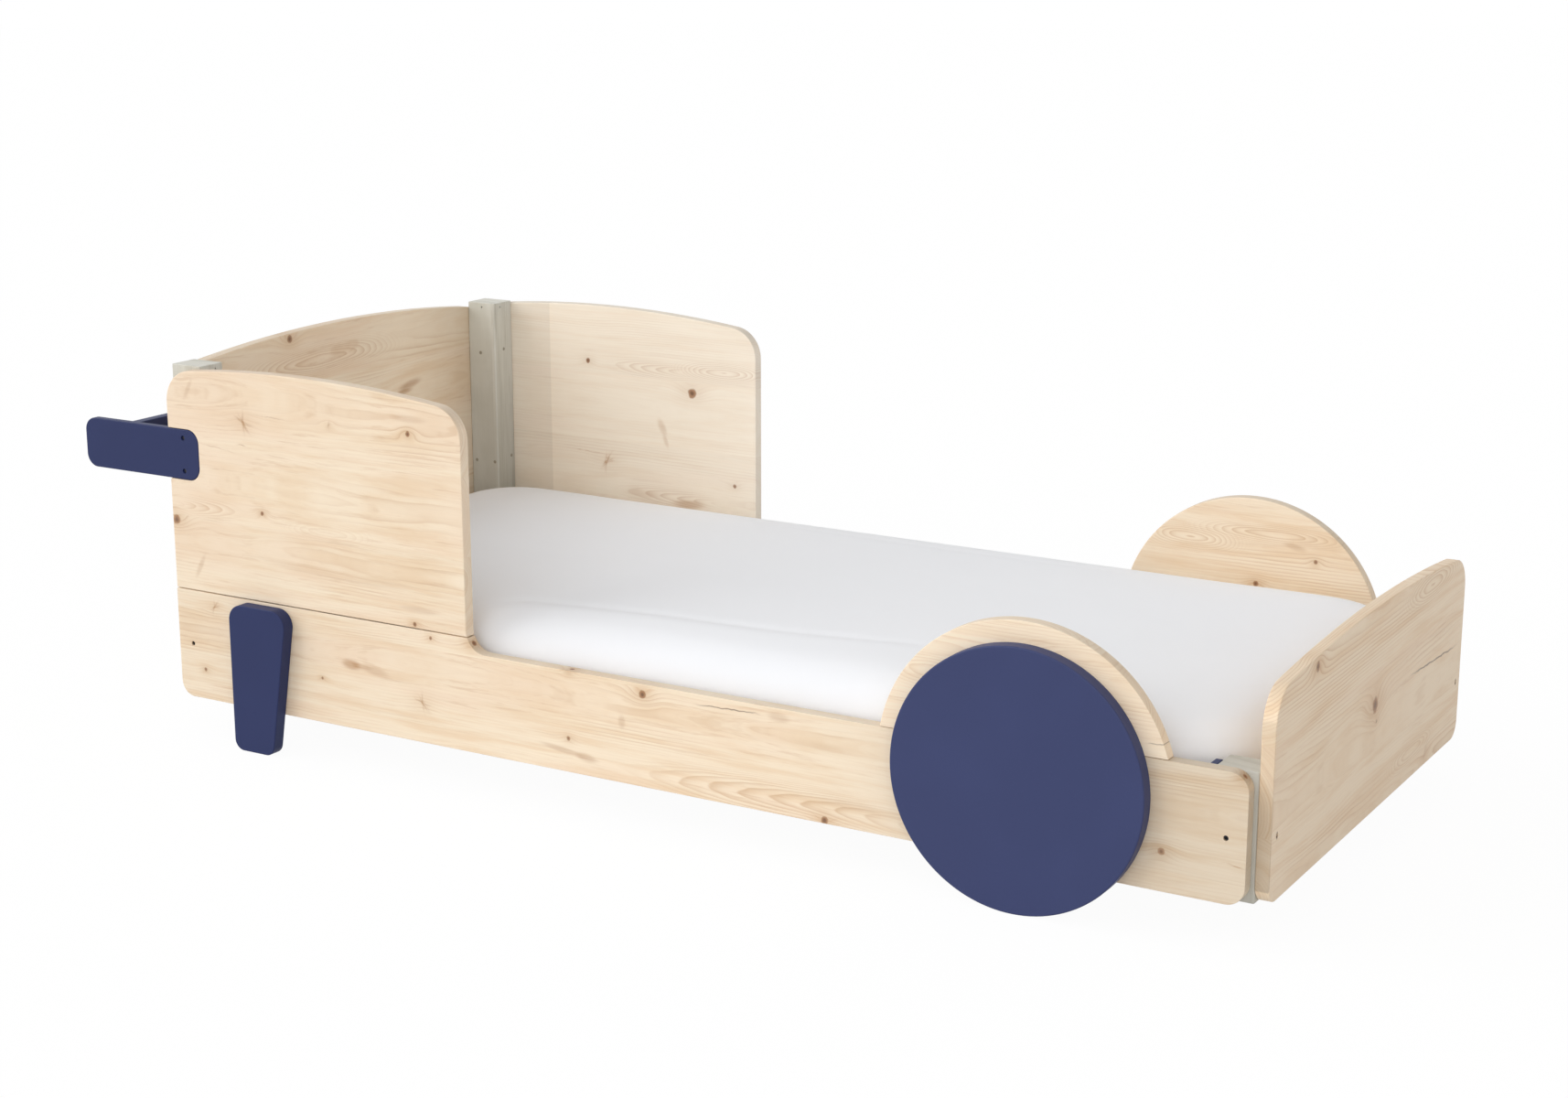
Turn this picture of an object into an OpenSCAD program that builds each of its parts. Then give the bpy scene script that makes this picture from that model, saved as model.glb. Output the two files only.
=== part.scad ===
// Low kids bed in solid pine: two side rails with a climb-in recess, raised head end,
// stepped wheel arches over fixed wheel discs, painted legs and a painted grab handle.
// Millimetres. X runs from the head (-X) to the foot (+X), the near side is -Y, the floor is Z = 0.

/* [Mattress] */
// Length of the mattress
mattress_l = 2000; // [1600:10:2100]
// Width of the mattress
mattress_w = 900; // [700:10:1200]
// Thickness of the mattress at its crown
mattress_h = 160; // [100:1:180]
// Height of the crown over the shoulder of the mattress
mattress_crown = 8; // [2:1:20]
// How far the long sides of the mattress draw in between its corners
mattress_draw = 5; // [0:0.5:8]
// Width of the rounding along the edges of the mattress
mattress_round = 90; // [40:1:120]
// Gap from each long side of the mattress to the rail
side_gap = 10; // [4:1:30]
// Gap from each end of the mattress to the end panel
end_gap = 27; // [5:1:60]
// Room between the mattress's rounded corners and the posts
post_room = 1; // [0.5:0.5:10]

/* [Boards] */
// Thickness of the rails, side boards, arches and end panels
board_t = 22; // [18:0.5:30]
// Radius of the rails' and panels' lower corners
corner_r = 30; // [10:1:60]
// Radius of the rails' lower corner at the head end
head_corner_r = 28; // [10:1:60]
// Radius of the crowned boards' upper corners
shoulder_r = 60; // [20:1:90]

/* [Side rails] */
// Height of the rails' underside above the floor
rail_z = 74; // [50:1:140]
// Height of the rail board
rail_h = 202; // [170:1:260]
// Depth of the climb-in recess below the rail's top
recess_drop = 26; // [10:1:60]
// Radius of the recess's fillet at the side board
recess_r = 38; // [15:1:60]
// How far the head panel stands clear of the rails' head ends
head_setback = 3; // [0:0.5:15]
// How far the foot panel stands clear of the rails' foot ends
foot_setback = 7; // [0:0.5:15]

/* [Head side boards] */
// Length of the raised side boards
side_l = 654; // [400:1:900]
// Height of the side boards' crown above the floor
side_top = 688; // [560:1:800]
// Radius of the side boards' crowned top edge
side_crown_r = 2490; // [1500:10:5000]
// Distance of the crown's highest point from the head end of the board
side_crown_x = 289; // [150:1:500]

/* [End panels] */
// Height of the head panel's crown above the side boards' crown
head_rise = 7; // [0:1:60]
// Radius of the head panel's crowned top edge
head_crown_r = 3400; // [2000:10:8000]
// Height of the foot panel's crown above the floor
foot_top = 418; // [330:1:600]
// Radius of the foot panel's crowned top edge
foot_crown_r = 4500; // [2000:10:9000]
// How far the foot panel's edges lie inside the rails' outer faces
panel_inset = 20; // [0:1:30]
// How far the head panel's edges lie inside the rails' outer faces
head_inset = 32; // [0:1:34]

/* [Corner posts] */
// Size of a corner post along the bed
post_x = 67; // [50:1:90]
// Size of a corner post across the bed
post_y = 58; // [50:1:90]
// Height of the head posts' tops above the side boards' crown
head_post_rise = -6; // [-30:1:10]
// Distance of the foot posts' tops below the rail's top
foot_post_drop = 2; // [0:0.5:20]
// Radius of the posts' long edges
post_edge_r = 3; // [1:0.5:8]

/* [Wheels] */
// Radius of a wheel disc, which stands on the floor
wheel_r = 209; // [160:1:230]
// Thickness of the wheel discs and legs
wheel_t = 25; // [18:0.5:40]
// Chamfer round the wheel disc's outer face
wheel_chamfer = 1.5; // [0.5:0.5:4]
// Distance of the wheel's centre from the foot end of the rail
wheel_foot = 358; // [260:1:600]
// Width of the arch's rim that shows round the wheel
arch_rim = 34; // [15:1:60]
// How far the step under the arch lies inside the disc's edge
step_in = 39; // [10:1:60]

/* [Legs] */
// Distance of a leg from the head end of the rail
leg_x = 144; // [80:1:300]
// Width of a leg at its top
leg_top_w = 133; // [90:1:180]
// Width of a leg at the floor
leg_foot_w = 89; // [60:1:130]
// Distance of a leg's top below the rail's top
leg_drop = 5; // [1:1:40]
// Radius of a leg's upper corners
leg_top_r = 30; // [5:1:40]
// Radius of a leg's lower corners
leg_foot_r = 20; // [5:1:30]

/* [Grab handle] */
// How far the handle arms reach past the head end of the rails
arm_reach = 203; // [125:1:260]
// How far the handle arms lap onto the side boards
arm_lap = 69.5; // [60:0.5:120]
// Height of a handle arm
arm_h = 91; // [70:1:140]
// Distance of the arms' top edge below the side boards' crown
arm_drop = 118; // [60:0.5:150]
// Thickness of the handle arms, which are let in flush with the side boards
arm_t = 15; // [10:0.5:18]
// Room round an arm in its housing
arm_fit = 0.6; // [0.2:0.1:1.5]
// Thickness of the handle bar
bar_t = 20; // [15:0.5:30]
// Radius of the arms' corners
arm_r = 24; // [5:1:34]
// Room for a hand between the handle bar and the head panel
hand_gap = 58; // [30:1:65]
// How much narrower the bar is than the arms, above and below
bar_margin = 1; // [0:0.5:10]

/* [Slatted base] */
// Number of slats
slat_count = 14; // [8:1:16]
// Width of a slat
slat_w = 70; // [50:1:90]
// Thickness of a slat
slat_t = 14; // [10:0.5:20]
// Thickness of a ledger, the batten that carries the slats
ledger_t = 30; // [22:1:40]
// Height of a ledger
ledger_h = 35; // [25:1:45]
// Height of a ledger's underside above the rail's underside
ledger_up = 42; // [36:1:60]
// Width of a webbing tape
tape_w = 25; // [15:1:40]
// Thickness of a webbing tape
tape_t = 1.5; // [1:0.1:3]
// Gap from a slat's end to the rail
slat_gap = 1; // [0.5:0.5:5]
// Gap from the first slat to the head posts
first_slat_gap = 8; // [2:1:40]
// Gap from the last slat to the corner packers
last_slat_gap = 3; // [1:1:40]
// Distance of each tape from the middle of the bed
tape_y = 250; // [100:5:300]
// Thickness of a corner packer along the bed
packer_t = 12; // [8:0.5:20]
// Width of a corner packer across the bed
packer_w = 31; // [25:1:40]

/* [Fasteners] */
// Distance of the frame bolts from the rails' ends
bolt_x = 32; // [28:0.5:40]
// Distance of the panel bolts from the rails' inner faces
panel_bolt_y = 21; // [16:0.5:25]
// Height of the panel bolts above the rail bolts
panel_bolt_up = 2; // [-5:1:8]
// Diameter of a frame bolt
bolt_d = 5; // [4:0.5:6]
// Diameter of a frame bolt's head
bolt_head_d = 8; // [7:0.5:10]
// Height of a frame bolt's head
bolt_head_h = 5; // [3:0.5:6]
// Depth of the counterbore under a bolt head
counterbore = 8; // [6:0.5:10]
// Diameter of a barrel nut
barrel_d = 10; // [8:0.5:11]
// Length of a barrel nut
barrel_l = 14; // [10:0.5:14]
// Diameter of a wood screw
screw_d = 4; // [3:0.5:5]
// Diameter of a wood screw's countersunk head
screw_head_d = 7; // [6:0.5:9]
// Diameter of the recess over an arm screw
arm_sink_d = 9; // [7.5:0.5:12]
// Depth of the recess over an arm screw
arm_sink = 3; // [1:0.5:6]
// Diameter of a wooden dowel
dowel_d = 8; // [6:1:10]
// Clearance round a fastener in its hole, on the radius
hole_clear = 0.2; // [0.1:0.05:0.4]

/* [Hidden] */
$fn = 64;
crown_fn = 720;
wheel_fn = 256;
small_fn = 32;
// How far a cutting shape runs past what it cuts
waste = 5;
// Least gap under something soft
seat = 0.3;

rail_l = mattress_l + 2 * end_gap - head_setback - foot_setback;
total_l = arm_reach + rail_l + foot_setback + board_t;
x_head = arm_reach - total_l / 2;
x_foot = x_head + rail_l;
xi_head = x_head - head_setback;
xi_foot = x_foot + foot_setback;
yi = mattress_w / 2 + side_gap;
yo = yi + board_t;

rail_top = rail_z + rail_h;
recess_z = rail_top - recess_drop;
side_x = x_head + side_l;
head_top = side_top + head_rise;
head_post_top = side_top + head_post_rise;
foot_post_top = rail_top - foot_post_drop;
panel_y = yo - panel_inset;
head_panel_y = yo - head_inset;

wheel_cx = x_foot - wheel_foot;
arch_r = wheel_r + arch_rim;
arch_step = wheel_r - step_in;
step_x = wheel_cx - arch_step;
leg_top = rail_top - leg_drop;

arm_x = x_head - arm_reach;
arm_l = arm_reach + arm_lap;
arm_z = side_top - arm_drop - arm_h;
bar_x = xi_head - board_t - hand_gap - bar_t;
ya = yo - arm_t;
bar_z = arm_z + bar_margin;
bar_h = arm_h - 2 * bar_margin;

ledger_z = rail_z + ledger_up;
slat_z = ledger_z + ledger_h;
slat_l = 2 * (yi - slat_gap);
packer_x = xi_foot - post_x - packer_t;
slat_x0 = xi_head + post_x + first_slat_gap;
slat_x1 = packer_x - last_slat_gap;
slat_pitch = (slat_x1 - slat_x0 - slat_w) / (slat_count - 1);

// The corner radius at which the mattress just passes the posts' inner corners with its room
mattress_z = slat_z + slat_t + seat;
least_corner = 60;
post_a = max(0, post_x - end_gap);
post_b = max(0, post_y - side_gap);
post_sum = post_a + post_b + post_room;
post_root = post_sum * post_sum - post_a * post_a - post_b * post_b + post_room * post_room;
mattress_r = max(least_corner, post_sum + sqrt(post_root));

// Frame bolts: how far each barrel nut lies inside its post, and how far the bolt runs past it
rail_bolt_z = rail_z + rail_h / 2;
panel_bolt_z = rail_bolt_z + panel_bolt_up;
rail_barrel_in = 38;
panel_barrel_in = 20;
bolt_past = 7;
rail_bolt_l = board_t - counterbore + rail_barrel_in + bolt_past;
panel_bolt_l = board_t - counterbore + panel_barrel_in + bolt_past;
socket_depth = 3;
socket_share = 0.66;

// How deep each screw bites into the second piece, and how far its tip stays below a shown face
board_bite = 16;
ledger_bite = 12;
post_bite = 26;
tip_cover = 7;
tip_r = 0.4;
board_screw_l = board_t + wheel_t - tip_cover;
ledger_screw_l = ledger_t + ledger_bite;
slat_screw_l = slat_t + board_bite;
packer_screw_l = packer_t + board_bite;
arm_screw_l = board_t - arm_sink + post_bite;
side_screw_l = post_y + board_bite;
head_screw_l = post_x + board_bite;
board_dowel_l = 40;
bar_dowel_cover = 4;
bar_dowel_l = 2 * (arm_t - bar_dowel_cover);

// Pilot holes near the head posts' tops
pilot_depth = 12;
pilot_drop = 9;
pilot_along = 35;
pilot_in = 19;
pilot_z = head_post_top - pilot_drop;
pilot_x = xi_head + pilot_along;
pilot_y = post_y - pilot_in - yi;

// Screw places in the board's own plane, as X and Z
leg_screw_in = 32;
leg_screw_up = 21;
leg_screw_drop = 36;
leg_screw_x = [leg_screw_in, leg_foot_w - leg_screw_in / 2];
leg_screw_z = [rail_z + leg_screw_up, leg_top - leg_screw_drop];
leg_screws = [for (u = leg_screw_x, z = leg_screw_z) [x_head + leg_x + u, z]];

// Two pairs through the rail hold a disc
wheel_screw_up = 26;
wheel_screw_drop = 61;
wheel_screw_low = [wheel_r * 0.53, rail_z + wheel_screw_up];
wheel_screw_mid = [wheel_r * 0.57, rail_top - wheel_screw_drop];
wheel_screws = [for (s = [-1, 1], p = [wheel_screw_low, wheel_screw_mid]) [wheel_cx + s * p[0], p[1]]];

ledger_screw_count = 6;
ledger_end = 70;
ledger_x0 = xi_head + post_x;
ledger_x1 = xi_foot - post_x;
ledger_screw_pitch = (ledger_x1 - ledger_x0 - 2 * ledger_end) / (ledger_screw_count - 1);
ledger_screws = [for (i = [0 : ledger_screw_count - 1]) ledger_x0 + ledger_end + i * ledger_screw_pitch];

dowel_end = 98;
side_dowels = [for (x = [dowel_end, side_l / 2, side_l - dowel_end]) x_head + x];
arch_dowel_in = 60;
arch_dowels = [for (s = [-1, 1]) wheel_cx + s * (arch_step - arch_dowel_in)];
bar_dowel_in = 22;
bar_dowels = [bar_z + bar_dowel_in, bar_z + bar_h - bar_dowel_in];

arm_screw_in = 15.5;
post_screw_edge = 9;
arm_screws = [for (z = [arm_z + arm_screw_in, arm_z + arm_h - arm_screw_in])
    [x_head + arm_lap / 2, z]];

// Head post screws: across into the side boards, as X and Z, and along into the head panel, as Y and Z.
// The two directions are set at different heights, so that they pass each other.
post_screw_drop = 104;
post_screw_up = 75;
screw_pass = 7;
post_screw_high = head_post_top - post_screw_drop;
post_screw_low = rail_top + post_screw_up;
post_screw_mid = post_y / 2;
post_screw_out = 12;
side_screws = [
    [xi_head + post_screw_mid, post_screw_high],
    [xi_head + post_screw_out, post_screw_low],
    [xi_head + post_x - post_screw_edge, post_screw_low]];
head_screws = [
    [yi - post_screw_mid, post_screw_high + screw_pass],
    [yi - post_screw_out, post_screw_low + screw_pass]];

packer_screw_up = 20;
packer_screw_drop = 30;
packer_screw_z = [slat_z + slat_t + packer_screw_up, foot_post_top - packer_screw_drop];
packer_screws = [for (z = packer_screw_z) [yi - packer_w / 2, z]];

pine = [0.93, 0.84, 0.72];
post_pine = [0.72, 0.69, 0.62];
blue = [0.23, 0.26, 0.42];
steel = [0.72, 0.73, 0.75];
birch = [0.90, 0.80, 0.62];

// Outlines

// The waste outside a rounding of radius r at corner p, between the edges to a and b
module corner_waste(p, a, b, r) {
    ua = (a - p) / norm(a - p);
    ub = (b - p) / norm(b - p);
    half = acos(ua * ub) / 2;
    c = p + (ua + ub) / norm(ua + ub) * r / sin(half);
    ta = p + ua * r / tan(half);
    tb = p + ub * r / tan(half);
    difference() {
        polygon([c, ta, ta + (ta - c) / r * waste, p + (p - c) / norm(p - c) * 2 * waste,
                 tb + (tb - c) / r * waste, tb]);
        translate(c) circle(r);
    }
}

// A polygon whose corners are rounded by the radii in rs, 0 for a square corner
module rounded_outline(pts, rs) {
    n = len(pts);
    difference() {
        polygon(pts);
        for (i = [0 : n - 1])
            if (rs[i] > 0) corner_waste(pts[i], pts[(i + n - 1) % n], pts[(i + 1) % n], rs[i]);
    }
}

function box_points(x, y, w, h) = [[x, y], [x + w, y], [x + w, y + h], [x, y + h]];

// The waste outside a rounding of radius r between a crown and the upright edge at x.
// The board lies on the side of the edge that side points away from.
module shoulder_waste(crown_c, crown_r, x, side, r) {
    cx = x - side * r;
    c = [cx, crown_c[1] + sqrt(pow(crown_r - r, 2) - pow(cx - crown_c[0], 2))];
    t = crown_c + (c - crown_c) * crown_r / (crown_r - r);
    far = x + side * waste;
    difference() {
        polygon([c, [x, c[1]], [far, c[1]], [far, t[1] + waste], [t[0], t[1] + waste], t]);
        translate(c) circle(r);
    }
}

// A board with a crowned top edge, its two shoulders and its two lower corners rounded
module crowned_outline(x0, x1, z0, top, crown_x, crown_r, foot_r) {
    crown_c = [crown_x, top - crown_r];
    difference() {
        intersection() {
            rounded_outline(box_points(x0, z0, x1 - x0, top + waste - z0), [foot_r, foot_r, 0, 0]);
            translate(crown_c) circle(crown_r, $fn = crown_fn);
        }
        shoulder_waste(crown_c, crown_r, x0, -1, shoulder_r);
        shoulder_waste(crown_c, crown_r, x1, 1, shoulder_r);
    }
}

// Everything the climb-in recess takes out of one side, with its filleted lower corner
module recess_outline() {
    difference() {
        translate([side_x, recess_z]) square([step_x - side_x, side_top]);
        corner_waste([side_x, recess_z], [side_x + 1, recess_z], [side_x, recess_z + 1], recess_r);
    }
}

module rail_outline() {
    difference() {
        rounded_outline(box_points(x_head, rail_z, rail_l, rail_h), [head_corner_r, corner_r, corner_r, 0]);
        recess_outline();
    }
}

module side_board_outline() {
    difference() {
        union() {
            crowned_outline(x_head, side_x, rail_top, side_top, x_head + side_crown_x, side_crown_r, 0);
            flare_h = recess_z + recess_r - rail_top;
            if (flare_h > 0)
                translate([side_x - recess_r, rail_top]) square([2 * recess_r, flare_h]);
        }
        recess_outline();
    }
}

// The arch is a slice of a disc that steps down from the rail's top into the recess
module arch_outline() {
    intersection() {
        translate([wheel_cx, wheel_r]) circle(arch_r, $fn = wheel_fn);
        union() {
            translate([wheel_cx - 2 * arch_r, recess_z]) square([2 * arch_r - arch_step, 2 * arch_r]);
            translate([step_x - waste, rail_top]) square([4 * arch_r, 2 * arch_r]);
        }
    }
}

module leg_outline() {
    x = x_head + leg_x;
    rounded_outline([[x, 0], [x + leg_foot_w, 0], [x + leg_top_w, leg_top], [x, leg_top]],
                    [leg_foot_r, leg_foot_r, leg_top_r, leg_top_r]);
}

module arm_outline(grow = 0) {
    r = arm_r + grow;
    rounded_outline(box_points(arm_x - grow, arm_z - grow, arm_l + 2 * grow, arm_h + 2 * grow), [r, r, r, r]);
}

// Places

// An outline in X and Z, raised from y outwards by t on the near side
module side_plate(y, t) {
    translate([0, -y, 0]) rotate([90, 0, 0]) linear_extrude(t) children();
}

// An outline in Y and Z, raised from x towards the foot by t
module end_plate(x, t) {
    translate([x, 0, 0]) rotate([90, 0, 90]) linear_extrude(t) children();
}

// The children on the near side, or mirrored onto the far side
module on_side(far) {
    mirror([0, far ? 1 : 0, 0]) children();
}

// The children turned from -Z to point along -Y, +Y, +X or -X, with the head left at the place given
module to_near(p) {
    translate(p) rotate([-90, 0, 0]) children();
}

module to_far(p) {
    translate(p) rotate([90, 0, 0]) children();
}

module to_foot(p) {
    translate(p) rotate([0, -90, 0]) children();
}

module to_head(p) {
    translate(p) rotate([0, 90, 0]) children();
}

// Fasteners, each with its head at the origin and its shank along -Z; grow widens one into its hole

module screw(l, grow = 0) {
    r = screw_d / 2 + grow;
    hr = screw_head_d / 2 + grow;
    rotate_extrude($fn = small_fn)
        polygon([[0, grow], [hr, grow], [hr, 0], [r, r - hr],
                 [r, screw_d - l - grow], [tip_r, -l - grow], [0, -l - grow]]);
}

module bolt(l, grow = 0) {
    r = bolt_d / 2 + grow;
    hr = bolt_head_d / 2 + grow;
    depth = counterbore;
    head = grow > 0 ? waste : bolt_head_h - depth;
    tip = -depth - l - grow;
    rotate_extrude($fn = small_fn)
        polygon([[0, head], [hr, head], [hr, -depth], [r, -depth], [r, tip], [0, tip]]);
}

module bolt_socket() {
    translate([0, 0, bolt_head_h - counterbore - socket_depth])
        cylinder(d = socket_share * bolt_head_d, h = 2 * waste, $fn = 6);
}

module dowel(l, grow = 0) {
    cylinder(d = dowel_d + 2 * grow, h = l + 2 * grow, center = true, $fn = small_fn);
}

// The fasteners of the near side, used both as solids and, grown, as holes

module near_rail_bolts(grow = 0) {
    for (x = [x_head + bolt_x, x_foot - bolt_x])
        to_far([x, -yo, rail_bolt_z]) bolt(rail_bolt_l, grow);
}

module near_panel_bolts(grow = 0) {
    y = panel_bolt_y - yi;
    to_foot([xi_head - board_t, y, panel_bolt_z]) bolt(panel_bolt_l, grow);
    to_head([xi_foot + board_t, y, panel_bolt_z]) bolt(panel_bolt_l, grow);
}

// A barrel nut's cross bore runs out to the post's face, so the nut can be slid in
module near_barrels(grow = 0) {
    l = barrel_l + 2 * grow;
    d = barrel_d + 2 * grow;
    run_x = grow > 0 ? post_x : 0;
    run_y = grow > 0 ? post_y : 0;
    y = rail_barrel_in - yi;
    yp = panel_bolt_y - yi - l / 2;
    translate([x_head + bolt_x - l / 2, y, rail_bolt_z])
        rotate([0, 90, 0]) cylinder(d = d, h = l + run_x, $fn = small_fn);
    translate([x_foot - bolt_x + l / 2, y, rail_bolt_z])
        rotate([0, -90, 0]) cylinder(d = d, h = l + run_x, $fn = small_fn);
    for (x = [xi_head + panel_barrel_in, xi_foot - panel_barrel_in])
        translate([x, yp, panel_bolt_z])
            rotate([-90, 0, 0]) cylinder(d = d, h = l + run_y, $fn = small_fn);
}

module near_wheel_screws(grow = 0) {
    for (p = wheel_screws) to_near([p[0], -yi, p[1]]) screw(board_screw_l, grow);
}

module near_leg_screws(grow = 0) {
    for (p = leg_screws) to_near([p[0], -yi, p[1]]) screw(board_screw_l, grow);
}

module near_arm_screws(grow = 0) {
    for (p = arm_screws) to_far([p[0], arm_sink - yo, p[1]]) {
        screw(arm_screw_l, grow);
        if (grow > 0) cylinder(d = arm_sink_d, h = arm_sink + waste, $fn = small_fn);
    }
}

module near_side_screws(grow = 0) {
    for (p = side_screws) to_near([p[0], post_y - yi, p[1]]) screw(side_screw_l, grow);
}

module near_head_screws(grow = 0) {
    for (p = head_screws) to_head([xi_head + post_x, -p[0], p[1]]) screw(head_screw_l, grow);
}

module near_post_screws(grow = 0) {
    near_side_screws(grow);
    near_head_screws(grow);
}

module near_ledger_screws(grow = 0) {
    for (x = ledger_screws)
        to_near([x, ledger_t - yi, ledger_z + ledger_h / 2]) screw(ledger_screw_l, grow);
}

module near_slat_screws(grow = 0) {
    for (x = [slat_x0 + slat_w / 2, slat_x1 - slat_w / 2])
        translate([x, ledger_t / 2 - yi, slat_z + slat_t]) screw(slat_screw_l, grow);
}

module near_packer_screws(grow = 0) {
    for (p = packer_screws) to_foot([packer_x, -p[0], p[1]]) screw(packer_screw_l, grow);
}

module near_side_dowels(grow = 0) {
    for (x = side_dowels) translate([x, -yi - board_t / 2, rail_top]) dowel(board_dowel_l, grow);
}

module near_arch_dowels(grow = 0) {
    for (x = arch_dowels) translate([x, -yi - board_t / 2, rail_top]) dowel(board_dowel_l, grow);
}

module near_bar_dowels(grow = 0) {
    for (z = bar_dowels) translate([bar_x + bar_t / 2, -ya, z]) rotate([90, 0, 0]) dowel(bar_dowel_l, grow);
}

module both_sides() {
    children();
    mirror([0, 1, 0]) children();
}

// Boards

module side_rail(far) {
    color(pine) on_side(far) difference() {
        side_plate(yi, board_t) rail_outline();
        near_rail_bolts(hole_clear);
        near_wheel_screws(hole_clear);
        near_leg_screws(hole_clear);
        near_ledger_screws(hole_clear);
        near_side_dowels(hole_clear);
        near_arch_dowels(hole_clear);
    }
}

module head_side_board(far) {
    color(pine) on_side(far) difference() {
        side_plate(yi, board_t) side_board_outline();
        side_plate(ya, arm_t + waste) arm_outline(arm_fit);
        near_arm_screws(hole_clear);
        near_side_screws(hole_clear);
        near_side_dowels(hole_clear);
    }
}

module wheel_arch(far) {
    color(pine) on_side(far) difference() {
        side_plate(yi, board_t) arch_outline();
        near_arch_dowels(hole_clear);
    }
}

module head_panel() {
    color(pine) difference() {
        end_plate(xi_head - board_t, board_t)
            crowned_outline(-head_panel_y, head_panel_y, rail_z, head_top, 0, head_crown_r, corner_r);
        both_sides() {
            near_panel_bolts(hole_clear);
            near_head_screws(hole_clear);
        }
    }
}

module foot_panel() {
    color(pine) difference() {
        end_plate(xi_foot, board_t)
            crowned_outline(-panel_y, panel_y, rail_z, foot_top, 0, foot_crown_r, corner_r);
        both_sides() near_panel_bolts(hole_clear);
    }
}

// Posts

module post_blank(x, top) {
    translate([x, -yi, rail_z]) linear_extrude(top - rail_z)
        rounded_outline(box_points(0, 0, post_x, post_y), [for (i = [1 : 4]) post_edge_r]);
}

module head_post(far) {
    color(post_pine) on_side(far) difference() {
        post_blank(xi_head, head_post_top);
        near_rail_bolts(hole_clear);
        near_panel_bolts(hole_clear);
        near_barrels(hole_clear);
        near_arm_screws(hole_clear);
        near_side_screws(hole_clear);
        near_head_screws(hole_clear);
        to_near([pilot_x, post_y - yi, pilot_z]) pilot_hole();
        to_head([xi_head + post_x, pilot_y, pilot_z]) pilot_hole();
    }
}

module pilot_hole() {
    translate([0, 0, -pilot_depth]) cylinder(d = screw_d, h = pilot_depth + waste, $fn = small_fn);
}

module foot_post(far) {
    color(post_pine) on_side(far) difference() {
        post_blank(xi_foot - post_x, foot_post_top);
        near_rail_bolts(hole_clear);
        near_panel_bolts(hole_clear);
        near_barrels(hole_clear);
        near_packer_screws(hole_clear);
    }
}

// Painted pieces

module wheel_disc(far) {
    color(blue) on_side(far) difference() {
        translate([wheel_cx, -yo, wheel_r]) rotate([90, 0, 0]) rotate_extrude($fn = wheel_fn)
            polygon([[0, 0], [wheel_r, 0], [wheel_r, wheel_t - wheel_chamfer],
                     [wheel_r - wheel_chamfer, wheel_t], [0, wheel_t]]);
        near_wheel_screws(hole_clear);
    }
}

module leg(far) {
    color(blue) on_side(far) difference() {
        side_plate(yo, wheel_t) leg_outline();
        near_leg_screws(hole_clear);
    }
}

module handle_arm(far) {
    color(blue) on_side(far) difference() {
        side_plate(ya, arm_t) arm_outline();
        near_arm_screws(hole_clear);
        near_bar_dowels(hole_clear);
    }
}

module handle_bar() {
    color(blue) difference() {
        translate([bar_x, -ya, bar_z]) cube([bar_t, 2 * ya, bar_h]);
        both_sides() near_bar_dowels(hole_clear);
    }
}

module corner_packer(far) {
    color(blue) on_side(far) difference() {
        translate([packer_x, -yi, slat_z]) cube([packer_t, packer_w, foot_post_top - slat_z]);
        near_packer_screws(hole_clear);
    }
}

// Slatted base

module slat_ledger(far) {
    color(pine) on_side(far) difference() {
        translate([ledger_x0, -yi, ledger_z]) cube([ledger_x1 - ledger_x0, ledger_t, ledger_h]);
        near_ledger_screws(hole_clear);
        near_slat_screws(hole_clear);
    }
}

module slat(i) {
    x = slat_x0 + (i - 1) * slat_pitch;
    edge_r = slat_t / 4;
    color(birch) difference() {
        translate([x, slat_l / 2, slat_z]) rotate([90, 0, 0]) linear_extrude(slat_l)
            rounded_outline(box_points(0, 0, slat_w, slat_t), [edge_r, edge_r, edge_r, edge_r]);
        both_sides() near_slat_screws(hole_clear);
    }
}

module slat_tapes() {
    color("white") both_sides()
        translate([slat_x0, -tape_y - tape_w / 2, slat_z - tape_t])
            cube([slat_x1 - slat_x0, tape_w, tape_t]);
}

// Mattress

side_steps = 6;
corner_steps = 7;
edge_step = 22.5;
crown_steps = 4;
crown_flat = 40;
least_ring_r = 20;
// The underside turns in more tightly than the top
under_share = 0.45;
// The share of the draw-in that the flat faces keep
face_draw = 0.25;

function corner_points(cx, cy, r, a0) =
    [for (k = [0 : corner_steps]) let (a = a0 + 90 * k / corner_steps) [cx + r * cos(a), cy + r * sin(a)]];

// Points along a side from p to q, drawn in by pull at the middle
function side_points(p, q, pull) =
    let (n = [p[1] - q[1], q[0] - p[0]] / norm(q - p))
    [for (k = [1 : side_steps - 1]) let (u = k / side_steps) p + (q - p) * u + n * pull * sin(180 * u)];

// Points round the mattress at height z, set in from its full outline by inset
function mattress_ring(inset, z, pull) =
    let (r = max(mattress_r - inset, least_ring_r),
         x = mattress_l / 2 - inset - r,
         y = mattress_w / 2 - inset - r,
         cs = [for (c = [[x, y, 0], [-x, y, 90], [-x, -y, 180], [x, -y, 270]])
             corner_points(c[0], c[1], r, c[2])],
         sides = [for (i = [0 : 3]) side_points(cs[i][corner_steps], cs[(i + 1) % 4][0], pull)])
    [for (i = [0 : 3]) each [for (p = concat(cs[i], sides[i])) [p[0], p[1], z]]];

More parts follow.
